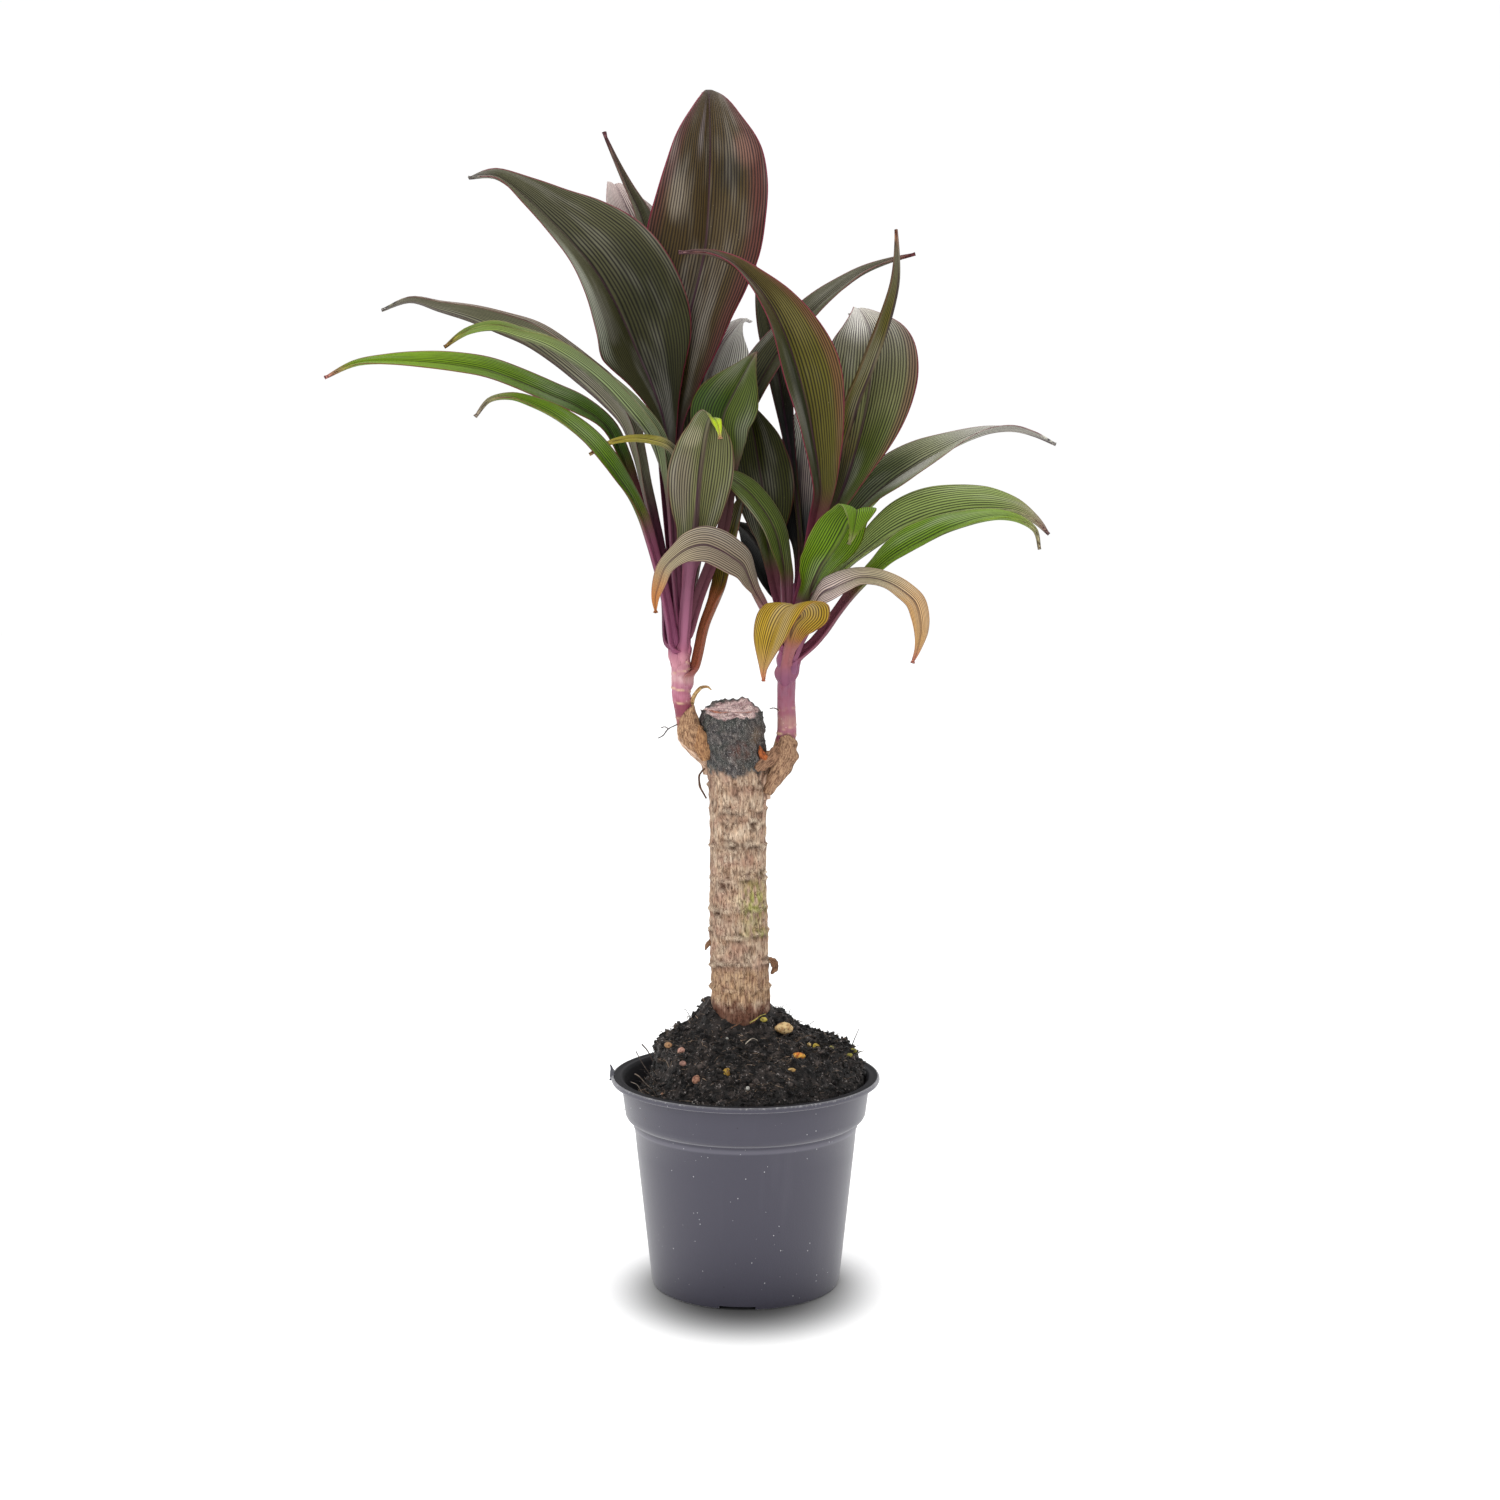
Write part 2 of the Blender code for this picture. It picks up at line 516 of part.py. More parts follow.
def mound_height(x, y):
    """The height of the peat's surface at a place in the pot, flatter near the cane and the wall."""
    from_cane = math.hypot(x - CANE_FOOT.x, y - CANE_FOOT.y) - CANE_RADIUS
    share = min(1.0, max(0.0, from_cane / (POT_BAND_RADIUS - CANE_RADIUS)))
    slope = MOUND_PEAK + (MOUND_EDGE - MOUND_PEAK) * share ** MOUND_BULGE
    leftness = max(0.0, -x / POT_BAND_RADIUS)
    hollow = MOUND_LEFT_HOLLOW * leftness * share ** 2
    roughness = min(1.0, 4.0 * share) * min(1.0, 4.0 * (1.0 - share))
    return slope - hollow + MOUND_LUMPS * roughness * lump(x, y)


def soil_ring(bm, share):
    """A ring of the mound's surface, from the socket's mouth at 0 to the wall at 1."""
    inside = CANE_RADIUS + GAP
    wall = POT_BAND_RADIUS - POT_WALL - SOIL_EDGE_GAP
    middle = Vector((CANE_FOOT.x * (1.0 - share), 0.0, 0.0))
    ring = []
    for p in circle_points(middle, inside + (wall - inside) * share, SOIL_SIDES):
        p.z = mound_height(p.x, p.y)
        ring.append(bm.verts.new(p))
    return ring


def make_soil():
    bm = bmesh.new()
    rings = []
    socket = Vector((CANE_FOOT.x, 0.0, SOCKET_FLOOR))
    rings.append([bm.verts.new(p) for p in circle_points(socket, CANE_RADIUS + GAP, SOIL_SIDES)])
    for i in range(SOIL_RINGS + 1):
        rings.append(soil_ring(bm, i / SOIL_RINGS))
    inner = POT_WALL + SOIL_SIDE_GAP
    sides = (
        (POT_BAND_FOOT_RADIUS - inner, POT_SHOULDER_HEIGHT + 3 * POT_ROUNDING + POT_EDGE),
        (POT_SHOULDER_RADIUS - inner, POT_SHOULDER_HEIGHT),
        (POT_SHOULDER_RADIUS - inner - POT_EDGE, POT_SHOULDER_HEIGHT - 3 * POT_ROUNDING),
        (POT_BASE_RADIUS - inner, POT_FLOOR + GAP),
    )
    for radius, height in sides:
        points = circle_points(Vector((0.0, 0.0, height)), radius, SOIL_SIDES)
        rings.append([bm.verts.new(p) for p in points])
    join_rings(bm, rings)
    soil = add_piece("soil", bm)
    paint(soil, PEAT, 0.95)
    for name, x, y, radius, _ in GRAINS:
        cut_with(soil, add_ball(name + "_dimple", grain_place(x, y, radius), radius * MM + GAP))
    return soil


def grain_place(x, y, radius):
    """The middle of a grain that sits sunk to its waist in the mound."""
    return Vector((x * MM, y * MM, mound_height(x * MM, y * MM) + GRAIN_RISE * radius * MM))


def add_ball(name, middle, radius):
    bm = bmesh.new()
    bmesh.ops.create_icosphere(bm, subdivisions=2, radius=radius)
    bmesh.ops.translate(bm, verts=bm.verts, vec=middle)
    return add_piece(name, bm)


def make_grains():
    for name, x, y, radius, colour in GRAINS:
        grain = add_ball(name, grain_place(x, y, radius), radius * MM)
        paint(grain, colour, 0.6)


def make_cane():
    bm = bmesh.new()
    foot = circle_points(CANE_FOOT, CANE_RADIUS, CANE_SIDES)
    rings = [[bm.verts.new(p) for p in foot]]
    for height, x, radius in CANE_SECTIONS:
        points = circle_points(Vector((x, 0.0, height)) * MM, radius * MM, CANE_SIDES)
        rings.append([bm.verts.new(p) for p in points])
    _, x, radius = CANE_SECTIONS[-1]
    cut_radius = radius * MM - CANE_CUT_BEVEL
    cut = circle_points(Vector((x * MM, 0.0, CANE_CUT_HEIGHT)), cut_radius, CANE_SIDES)
    rings.append([bm.verts.new(p + Vector((0.0, 0.0, p.y * CANE_CUT_SLOPE))) for p in cut])
    join_rings(bm, rings)
    cane = add_piece("cane", bm)
    paint(cane, BARK, 0.85)
    return cane


def shoot_rings(sections, margin):
    rings = []
    for height, x, y, radius in sections:
        rings.append(circle_points(Vector((x, y, height)) * MM, radius * MM + margin, SHOOT_SIDES))
    return rings


def make_shoot(name, sections):
    bm = bmesh.new()
    join_rings(bm, [[bm.verts.new(p) for p in ring] for ring in shoot_rings(sections, 0.0)])
    shoot = add_piece(name, bm)
    paint(shoot, PINK, 0.5)
    return shoot


def smooth_between(a, b, c, d, t):
    """A smooth curve from b at 0 to c at 1, whose slopes come from a and d."""
    bend = (2 * a - 5 * b + 4 * c - d) * t ** 2 + (3 * b - a - 3 * c + d) * t ** 3
    return 0.5 * (2 * b + (c - a) * t + bend)


def curve_point(points, share):
    """The place at a share of the way along a smooth curve through the points."""
    ends = [points[0] * 2 - points[1]] + list(points) + [points[-1] * 2 - points[-2]]
    spans = len(points) - 1
    i = min(int(share * spans), spans - 1)
    t = share * spans - i
    a, b, c, d = ends[i:i + 4]
    return smooth_between(a, b, c, d, t)


def even_stations(points, count):
    """Places at equal steps of length along the curve through the points, both ends included."""
    fine = [curve_point(points, i / 400) for i in range(401)]
    run = [0.0]
    for a, b in zip(fine, fine[1:]):
        run.append(run[-1] + (b - a).length)
    stations = []
    i = 0
    for k in range(count + 1):
        goal = run[-1] * k / count
        while i < len(run) - 2 and run[i + 1] < goal:
            i += 1
        part = (goal - run[i]) / (run[i + 1] - run[i])
        stations.append(fine[i].lerp(fine[i + 1], part))
    return stations


def ease(value):
    """A smooth step from 0 to 1."""
    value = min(1.0, max(0.0, value))
    return value * value * (3.0 - 2.0 * value)


def read_smoothly(values, share):
    """Reads evenly spaced values along a smooth curve through them."""
    spans = len(values) - 1
    i = min(int(share * spans), spans - 1)
    t = share * spans - i
    a = values[max(i - 1, 0)]
    b, c = values[i], values[i + 1]
    d = values[min(i + 2, spans)]
    return smooth_between(a, b, c, d, t)


def leaf_axes(along, share, row):
    """The leaf's left and upward directions at a share of its length."""
    lean = math.radians(row["lean"])
    side = Vector((-math.sin(lean), math.cos(lean), 0.0))
    side = (side - along * side.dot(along)).normalized()
    up = along.cross(side)
    turn = math.radians(read_smoothly(row["turns"], share))
    turned_side = side * math.cos(turn) + up * math.sin(turn)
    turned_up = up * math.cos(turn) - side * math.sin(turn)
    return turned_side, turned_up


def leaf_half_width(row, share):
    return max(TIP_HALF_WIDTH, read_smoothly(row["half"], share) * MM)


def bladeness(row, share):
    """0 on the channelled stalk and 1 on the open blade."""
    width = leaf_half_width(row, share)
    widening = (width - STALK_HALF_WIDTH) / (BLADE_HALF_WIDTH - STALK_HALF_WIDTH)
    return max(ease(widening), ease((share - TIP_SHARE) * 10.0))


def leaf_fold(row, share, side):
    """How far a half of the leaf is folded up from flat, in radians."""
    blade = bladeness(row, share)
    open_fold = math.radians(row["folds"][0] if side > 0 else row["folds"][1])
    return open_fold * blade + STALK_FOLD * (1.0 - blade)


def leaf_ring(place, along, share, row, margin):
    """The closed section of a leaf: its upper side from right to left, then its underside."""
    side, up = leaf_axes(along, share, row)
    width = leaf_half_width(row, share) + margin
    thick = STALK_THICKNESS + (LEAF_THICKNESS - STALK_THICKNESS) * bladeness(row, share)
    top, under = [], []
    for t in LEAF_CROSS:
        fold = leaf_fold(row, share, t)
        flat = side * (t * width * math.cos(fold)) + up * (abs(t) * width * math.sin(fold))
        depth = up * (thick / 2 * (1.0 - t * t) + margin)
        top.append(place + flat + depth)
        if abs(t) < 1.0:
            under.append(place + flat - depth)
    return top + list(reversed(under))


def leaf_rings(stations, row, margin=0.0):
    """A leaf's sections along its midrib, each grown by a margin all round."""
    last = len(stations) - 1
    rings = []
    for i, place in enumerate(stations):
        along = (stations[min(i + 1, last)] - stations[max(i - 1, 0)]).normalized()
        rings.append(leaf_ring(place, along, i / last, row, margin))
    return rings


def ring_tree(rings):
    """A search tree of the surface through the rings, whose faces are in order along it."""
    count = len(rings[0])
    faces = []
    for i in range(len(rings) - 1):
        for j in range(count):
            k = (j + 1) % count
            faces.append((i * count + j, i * count + k, (i + 1) * count + k, (i + 1) * count + j))
    return BVHTree.FromPolygons([p for ring in rings for p in ring], faces)


def add_push(pushes, station, push):
    """Adds a push at a station of a leaf, fading out over the stations near it."""
    for i in range(len(pushes)):
        weight = ease(1.0 - abs(i - station) / PUSH_REACH)
        if push.length * weight > pushes[i].length:
            pushes[i] = push * weight


def part_from_shoot(stations, tree, pushes, shoot):
    """Pushes a leaf's stations away from a shoot's middle line where the two meet."""
    count = 2 * len(LEAF_CROSS) - 2
    for face, other in tree.overlap(shoot["tree"]):
        _, x, y, _ = shoot["sections"][other // SHOOT_SIDES]
        away = stations[face // count] - Vector((x, y, 0.0)) * MM
        away.z = 0.0
        add_push(pushes, face // count, away.normalized() * PUSH_STEP)


def part_leaves(stations, trees, pushes, nearer, one, two):
    """Pushes two leaves apart in depth where they meet: the nearer one forward, the other back."""
    count = 2 * len(LEAF_CROSS) - 2
    for face, other in trees[one].overlap(trees[two]):
        i, j = face // count, other // count
        first = one if stations[one][i].y <= stations[two][j].y else two
        first = nearer.setdefault((one, two), first)
        push = Vector((0.0, -PUSH_STEP if first == one else PUSH_STEP, 0.0))
        add_push(pushes[one], i, push)
        add_push(pushes[two], j, -push)


def clear_stations():
    """Each leaf's stations along its midrib, moved apart until no leaf meets a shoot or a leaf."""
    shoots = []
    for sections in (LEFT_SHOOT_SECTIONS, RIGHT_SHOOT_SECTIONS):
        shoots.append(dict(sections=sections, tree=ring_tree(shoot_rings(sections, 0.0))))
    stations = {}
    for name, row in LEAVES.items():
        stations[name] = even_stations([Vector(p) * MM for p in row["path"]], LEAF_STEPS)
    nearer = {}
    for _ in range(PUSH_ROUNDS):
        trees = {n: ring_tree(leaf_rings(stations[n], LEAVES[n], LEAF_MARGIN)) for n in LEAVES}
        pushes = {n: [Vector() for _ in stations[n]] for n in LEAVES}
        for name, shoot in itertools.product(LEAVES, shoots):
            part_from_shoot(stations[name], trees[name], pushes[name], shoot)
        for one, two in itertools.combinations(LEAVES, 2):
            part_leaves(stations, trees, pushes, nearer, one, two)
        if not any(push.length for row in pushes.values() for push in row):
            break
        for name in LEAVES:
            stations[name] = [p + push for p, push in zip(stations[name], pushes[name])]
    return stations


def make_leaf(name, row, stations):
    bm = bmesh.new()
    join_leaf_rings(bm, [[bm.verts.new(p) for p in r] for r in leaf_rings(stations, row)])
    leaf = add_piece(name, bm, 60.0)
    paint(leaf, row["colour"], 0.45)
    return leaf


def make_bud_scale():
    """An orange-brown bud scale, a flat grain standing against the cane."""
    out = Vector((math.cos(BUD_TURN), math.sin(BUD_TURN), 0.0))
    bm = bmesh.new()
    bmesh.ops.create_icosphere(bm, subdivisions=2, radius=1.0)
    bmesh.ops.scale(bm, verts=bm.verts, vec=BUD_SIZE)
    bmesh.ops.rotate(bm, verts=bm.verts, matrix=Matrix.Rotation(BUD_TURN, 3, "Z"))
    bmesh.ops.translate(bm, verts=bm.verts, vec=BUD_MIDDLE + out * BUD_OUT)
    paint(add_piece("bud_scale", bm), RUSSET, 0.6)


def main():
    clear_scene()
    make_pot()
    make_soil()
    make_grains()
    make_cane()
    make_shoot("left_shoot", LEFT_SHOOT_SECTIONS)
    make_shoot("right_shoot", RIGHT_SHOOT_SECTIONS)
    stations = clear_stations()
    for name, row in LEAVES.items():
        make_leaf(name, row, stations[name])
    make_bud_scale()
    strip = even_stations([Vector(p) * MM for p in DRIED_STRIP["path"]], STRIP_STEPS)
    make_leaf("dried_strip", DRIED_STRIP, strip)


main()
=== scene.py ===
"""A ti plant in a nursery pot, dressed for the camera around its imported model.

Metres, +Z up, seen from -Y. Every piece is modelled where the model's node of that name stands.
"""

import json
import math
import random

import bpy
from mathutils import Matrix, Vector, noise
from mathutils.bvhtree import BVHTree


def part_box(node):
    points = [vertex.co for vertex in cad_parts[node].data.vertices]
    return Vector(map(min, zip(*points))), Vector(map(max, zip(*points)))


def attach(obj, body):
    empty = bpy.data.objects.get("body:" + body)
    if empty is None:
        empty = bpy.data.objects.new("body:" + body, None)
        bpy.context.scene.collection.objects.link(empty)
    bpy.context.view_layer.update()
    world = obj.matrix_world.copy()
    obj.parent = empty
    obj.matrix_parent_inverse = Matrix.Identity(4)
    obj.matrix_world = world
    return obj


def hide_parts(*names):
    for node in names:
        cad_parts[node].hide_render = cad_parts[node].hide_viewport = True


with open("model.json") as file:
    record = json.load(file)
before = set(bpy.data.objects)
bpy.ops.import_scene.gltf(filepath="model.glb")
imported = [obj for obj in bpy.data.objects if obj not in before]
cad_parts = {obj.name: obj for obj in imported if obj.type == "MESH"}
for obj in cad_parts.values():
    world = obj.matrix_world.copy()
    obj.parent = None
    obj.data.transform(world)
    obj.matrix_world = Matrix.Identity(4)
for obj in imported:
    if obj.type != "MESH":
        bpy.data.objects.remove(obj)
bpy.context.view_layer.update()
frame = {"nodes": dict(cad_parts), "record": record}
SLOTS = {row["node"]: row["material_slot"] for row in frame["record"]["subparts"]}

bl_info = {
    "name": "Potted Ti Plant",
    "version": (1, 0, 0),
    "blender": (4, 5, 0),
    "location": "3D View > Sidebar > Ti Plant",
    "description": "Models a potted ti plant: pot, peat, cane, shoots and leaves",
    "category": "Object",
}

MM = 0.001
UP = Vector((0.0, 0.0, 1.0))
SAME_PLACE = 1e-6
FEWEST_SIDES = 12


def srgb(red, green, blue):
    """A colour given in screen values from 0 to 255, as linear reflectance."""
    linear = []
    for value in (red, green, blue):
        share = value / 255
        linear.append(share / 12.92 if share <= 0.04045 else ((share + 0.055) / 1.055) ** 2.4)
    return tuple(linear)


def blend(tone, colour, share):
    """A tone moved by a share of the way to a colour in screen values."""
    return tone.lerp(Vector(srgb(*colour)), share)


def clamp(value):
    """A value kept from 0 to 1."""
    return min(1.0, max(0.0, value))


def ease(value):
    """A smooth step from 0 to 1."""
    value = clamp(value)
    return value * value * (3.0 - 2.0 * value)


def smooth_between(a, b, c, d, t):
    """A smooth curve from b at 0 to c at 1, whose slopes come from a and d."""
    bend = (2 * a - 5 * b + 4 * c - d) * t ** 2 + (3 * b - a - 3 * c + d) * t ** 3
    return 0.5 * (2 * b + (c - a) * t + bend)


def read_smoothly(values, share):
    """Reads evenly spaced values along a smooth curve through them."""
    spans = len(values) - 1
    i = min(int(share * spans), spans - 1)
    a = values[max(i - 1, 0)]
    d = values[min(i + 2, spans)]
    return smooth_between(a, values[i], values[i + 1], d, share * spans - i)


def way_along(spots, share, reach):
    """The way that a curve through spots runs at a share of it, seen over a reach each way."""
    ahead = read_smoothly(spots, min(1.0, share + reach))
    behind = read_smoothly(spots, max(0.0, share - reach))
    return (ahead - behind).normalized()


def node_tree(name):
    """A search tree of a node of the model."""
    mesh = frame["nodes"][name].data
    corners = [vertex.co for vertex in mesh.vertices]
    return BVHTree.FromPolygons(corners, [tuple(face.vertices) for face in mesh.polygons])


def node_sections(name):
    """The level rings of a round node: height, middle and radius, from the bottom up."""
    rings = {}
    for vertex in frame["nodes"][name].data.vertices:
        spot = tuple(round(value, 6) for value in vertex.co)
        rings.setdefault(round(vertex.co.z, 5), set()).add(spot)
    sections = []
    for height, spots in sorted(rings.items()):
        if len(spots) < FEWEST_SIDES:
            continue
        middle = sum((Vector(spot) for spot in spots), Vector()) / len(spots)
        radius = sum((Vector(spot) - middle).length for spot in spots) / len(spots)
        sections.append((height, middle.x, middle.y, radius))
    return sections


def section_at(sections, height):
    """The middle and radius of a round piece at a height, smoothly between its rings."""
    i = 0
    while i < len(sections) - 2 and sections[i + 1][0] < height:
        i += 1
    low, high = sections[i], sections[i + 1]
    t = clamp((height - low[0]) / (high[0] - low[0]))
    before, after = sections[max(i - 1, 0)], sections[min(i + 2, len(sections) - 1)]
    return tuple(smooth_between(before[k], low[k], high[k], after[k], t) for k in (1, 2, 3))


class Wire:
    """A shader socket that can be used in sums, products and powers."""

    def __init__(self, look, socket):
        self.look = look
        self.socket = socket

    def __add__(self, other):
        return self.look.math("ADD", self, other)

    def __sub__(self, other):
        return self.look.math("SUBTRACT", self, other)

    def __rsub__(self, other):
        return self.look.math("SUBTRACT", other, self)

    def __mul__(self, other):
        return self.look.math("MULTIPLY", self, other)

    def __pow__(self, other):
        return self.look.math("POWER", self, other)

    def __abs__(self):
        return self.look.math("ABSOLUTE", self)

    __radd__ = __add__


class Look:
    """A material and the nodes it is made of."""

    def __init__(self, name, **constants):
        self.material = bpy.data.materials.new(name)
        self.material.use_nodes = True
        self.nodes = self.material.node_tree.nodes
        self.links = self.material.node_tree.links
        self.shader = self.nodes["Principled BSDF"]
        self.colour = (1.0, 1.0, 1.0)
        self.set(**constants)

    def find(self, sockets, key):
        """A socket by its number, its identifier or its name."""
        if isinstance(key, int):
            return sockets[key]
        for socket in sockets:
            if key in (socket.identifier, socket.name):
                return socket
        raise KeyError(key)

    def put(self, node, sockets):
        """Sets the sockets of a node to values, or links them to wires."""
        for key, value in sockets.items():
            socket = self.find(node.inputs, key)
            if isinstance(value, Wire):
                self.links.new(value.socket, socket)
            elif socket.type == "RGBA":
                socket.default_value = (*tuple(value)[:3], 1.0)
            else:
                socket.default_value = value

    def node(self, kind, settings=None, sockets=None, output=0):
        """Adds a node with its settings and its sockets' values or links, and gives one output."""
        node = self.nodes.new(kind)
        for key, value in (settings or {}).items():
            setattr(node, key, value)
        self.put(node, sockets or {})
        return Wire(self, self.find(node.outputs, output))

    def set(self, **sockets):
        """Puts values or wires on the shader's sockets, named here with _ for a space."""
        self.put(self.shader, {key.replace("_", " "): value for key, value in sockets.items()})

    def finish(self, **sockets):
        """Puts the look's colour and the other sockets on the shader, and gives the material."""
        self.set(Base_Color=self.colour, **sockets)
        return self.material

    def math(self, operation, *values):
        return self.node("ShaderNodeMath", {"operation": operation}, dict(enumerate(values)))

    def mix(self, share, first, second, blend="MIX"):
        settings = {"data_type": "RGBA", "blend_type": blend}
        sockets = {"Factor_Float": share, "A_Color": first, "B_Color": second}
        return self.node("ShaderNodeMix", settings, sockets, "Result_Color")

    def lay(self, share, colour):
        """Lays a colour in screen values over the look's colour, as strongly as a share says."""
        self.colour = self.mix(share, self.colour, srgb(*colour))

    def dye(self, share, factors):
        """Multiplies the look's colour by factors, as strongly as a share says."""
        self.colour = self.mix(share, self.colour, factors, "MULTIPLY")

    def step(self, value, low, high):
        """0 below low, 1 above high, and smooth between; low may be above high."""
        sockets = {"Value": value, "From Min": low, "From Max": high}
        return self.node("ShaderNodeMapRange", {"interpolation_type": "SMOOTHSTEP"}, sockets)

    def place(self):
        return self.node("ShaderNodeTexCoord", output="Object")

    def parts(self, vector):
        node = self.nodes.new("ShaderNodeSeparateXYZ")
        self.put(node, {"Vector": vector})
        return [Wire(self, socket) for socket in node.outputs]

    def point(self, x, y, z):
        return self.node("ShaderNodeCombineXYZ", None, {"X": x, "Y": y, "Z": z})

    def stretch(self, vector, factors):
        sockets = {0: vector, 1: factors}
        return self.node("ShaderNodeVectorMath", {"operation": "MULTIPLY"}, sockets)

    def shift(self, vector, way):
        return self.node("ShaderNodeVectorMath", {"operation": "ADD"}, {0: vector, 1: way})

    def attribute(self, name, output="Fac"):
        return self.node("ShaderNodeAttribute", {"attribute_name": name}, output=output)

    def noise(self, vector, scale, detail=2.0, roughness=0.5, distortion=0.0):
        sockets = {
            "Vector": vector, "Scale": scale, "Detail": detail, "Roughness": roughness,
            "Distortion": distortion,
        }
        return self.node("ShaderNodeTexNoise", None, sockets)

    def cells(self, vector, scale):
        sockets = {"Vector": vector, "Scale": scale}
        return self.node("ShaderNodeTexVoronoi", None, sockets, "Distance")

    def bump(self, height, distance, strength=1.0):
        sockets = {"Height": height, "Distance": distance, "Strength": strength}
        return self.node("ShaderNodeBump", None, sockets)


def switch_to(mode):
    """Switches the chosen piece to a mode."""
    bpy.ops.object.mode_set(mode=mode)


def clear_selection():
    """Leaves edit mode and deselects everything."""
    if bpy.context.object and bpy.context.object.mode != "OBJECT":
        switch_to("OBJECT")
    bpy.ops.object.select_all(action="DESELECT")


def choose(piece):
    """Selects one piece and nothing else."""
    clear_selection()
    piece.select_set(True)
    bpy.context.view_layer.objects.active = piece


def named(name):
    """Names the newest piece and gives it."""
    piece = bpy.context.object
    piece.name = name
    piece.data.name = name
    return piece


def add_grid(name, across, along):
    """A flat grid from -0.5 to 0.5 each way, ready to be bent into shape."""
    clear_selection()
    bpy.ops.mesh.primitive_grid_add(x_subdivisions=across, y_subdivisions=along, size=1.0)
    return named(name)


def merge_doubles(piece):
    """Joins corners at the same place and turns the faces outwards."""
    choose(piece)
    switch_to("EDIT")
    bpy.ops.mesh.select_all(action="SELECT")
    bpy.ops.mesh.remove_doubles(threshold=SAME_PLACE)
    bpy.ops.mesh.normals_make_consistent(inside=False)
    switch_to("OBJECT")


def add_modifier(piece, kind, **settings):
    """Adds a modifier and applies it."""
    choose(piece)
    modifier = piece.modifiers.new(kind.title(), kind)
    for key, value in settings.items():
        setattr(modifier, key, value)
    bpy.ops.object.modifier_apply(modifier=modifier.name)


def shade(piece, angle=None):
    """Shades a piece smooth, but for edges sharper than an angle in degrees if one is given."""
    choose(piece)
    if angle is None:
        bpy.ops.object.shade_smooth()
    else:
        bpy.ops.object.shade_smooth_by_angle(angle=math.radians(angle))


def settle(piece, slot, nodes, *materials):
    """Gives a finished piece its materials and its body, and hides the nodes that it stands for."""
    for material in materials:
        piece.data.materials.append(material)
    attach(piece, "root")
    if nodes:
        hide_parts(*nodes)
    return piece


def add_attributes(mesh, colours, values):
    """Adds colours and values to a mesh's corners, and gives their data in the same order."""
    for name in colours:
        mesh.attributes.new(name, "FLOAT_COLOR", "POINT")
    for name in values:
        mesh.attributes.new(name, "FLOAT", "POINT")
    return [mesh.attributes[name].data for name in (*colours, *values)]


def deselect_all(kind):
    """Leaves no part of the chosen piece selected, ready to select some of one kind in code."""
    switch_to("EDIT")
    bpy.ops.mesh.select_mode(type=kind)
    bpy.ops.mesh.select_all(action="DESELECT")
    switch_to("OBJECT")


def cut_rings(piece, cuts):
    """Cuts the upright edges of a chosen unit tube into equal lengths."""
    deselect_all("EDGE")
    corners = piece.data.vertices
    for edge in piece.data.edges:
        low, high = (corners[i].co.z for i in edge.vertices)
        edge.select = abs(high - low) > 0.5
    switch_to("EDIT")
    bpy.ops.mesh.subdivide(number_cuts=cuts)
    switch_to("OBJECT")


def rough(place, size, tall=1.0):
    """A repeatable unevenness from -1 to 1 at a place, in lumps of a size and how tall they are."""
    return noise.noise(Vector((place.x / size, place.y / size, place.z / (size * tall))))


def bump_at(distance, width):
    """1 at no distance, and falling away like a bell of a width."""
    return math.exp(-((distance / width) ** 2))


def mottle(tone, place, colour, amount, swing, size, tall, strength):
    """A tone with patches of a colour: how much, how uneven, size in millimetres and height."""
    share = ease(amount + swing * rough(place, size * MM, tall))
    return blend(tone, colour, share * strength)


POT_SIDES = 160
POT_SHARP = 35
LIP_HEIGHT = 2.4 * MM
BEAD_DEPTH = 0.7 * MM
BEAD_HEIGHT = 1.8 * MM
GROOVE_COUNT = 4
GROOVE_WIDTH = 16.0 * MM
GROOVE_DEPTH = 1.6 * MM
GROOVE_START = 20.0 * MM
GROOVE_TURN = math.radians(-5.0)
DRAIN_RADIUS = 4.0 * MM
DRAIN_PLACE = 30.0 * MM
DRAIN_SIDES = 32
CUTTER_REACH = 8.0 * MM
LEVEL_RISE = 0.7
INNER_EDGE = 1.2 * MM

# The torn spike on the pot's lip: its middle line, half widths and cup in millimetres.
LIP_TEAR = ((-59.2, -3.0, 91.8), (-59.4, -2.4, 94.0), (-59.6, -2.0, 96.4), (-60.4, -2.4, 98.8))
LIP_TEAR_HALVES = (1.4, 1.2, 0.7, 0.1)
LIP_TEAR_CUP = 0.1


def metres(name, description, default):
    """A setting in metres."""
    return bpy.props.FloatProperty(name=name, description=description, default=default, unit="LENGTH")


def tinted(name, description, *screen_values):
    """A colour setting, its default given in screen values."""
    return bpy.props.FloatVectorProperty(
        name=name, description=description, default=srgb(*screen_values), subtype="COLOR")


class PotSettings(bpy.types.PropertyGroup):
    """Sizes and colours of the nursery pot."""

    rim_radius: metres("Rim radius", "Half the pot's width across its lip", 60.0 * MM)
    height: metres("Height", "From the floor to the top of the lip", 94.0 * MM)
    base_radius: metres("Base radius", "Half the pot's width across its foot", 42.3 * MM)
    shoulder_height: metres("Shoulder height", "Height of the step under the band", 74.5 * MM)
    shoulder_radius: metres("Shoulder radius", "Half the pot's width under the step", 50.0 * MM)
    band_radius: metres("Band radius", "Half the pot's width just under its lip", 55.5 * MM)
    band_foot_radius: metres(
        "Band foot radius", "Half the pot's width at the foot of the band", 53.8 * MM)
    wall: metres("Wall", "Thickness of the wall", 1.4 * MM)
    colour: tinted("Plastic", "Colour of the plastic", 61, 59, 72)


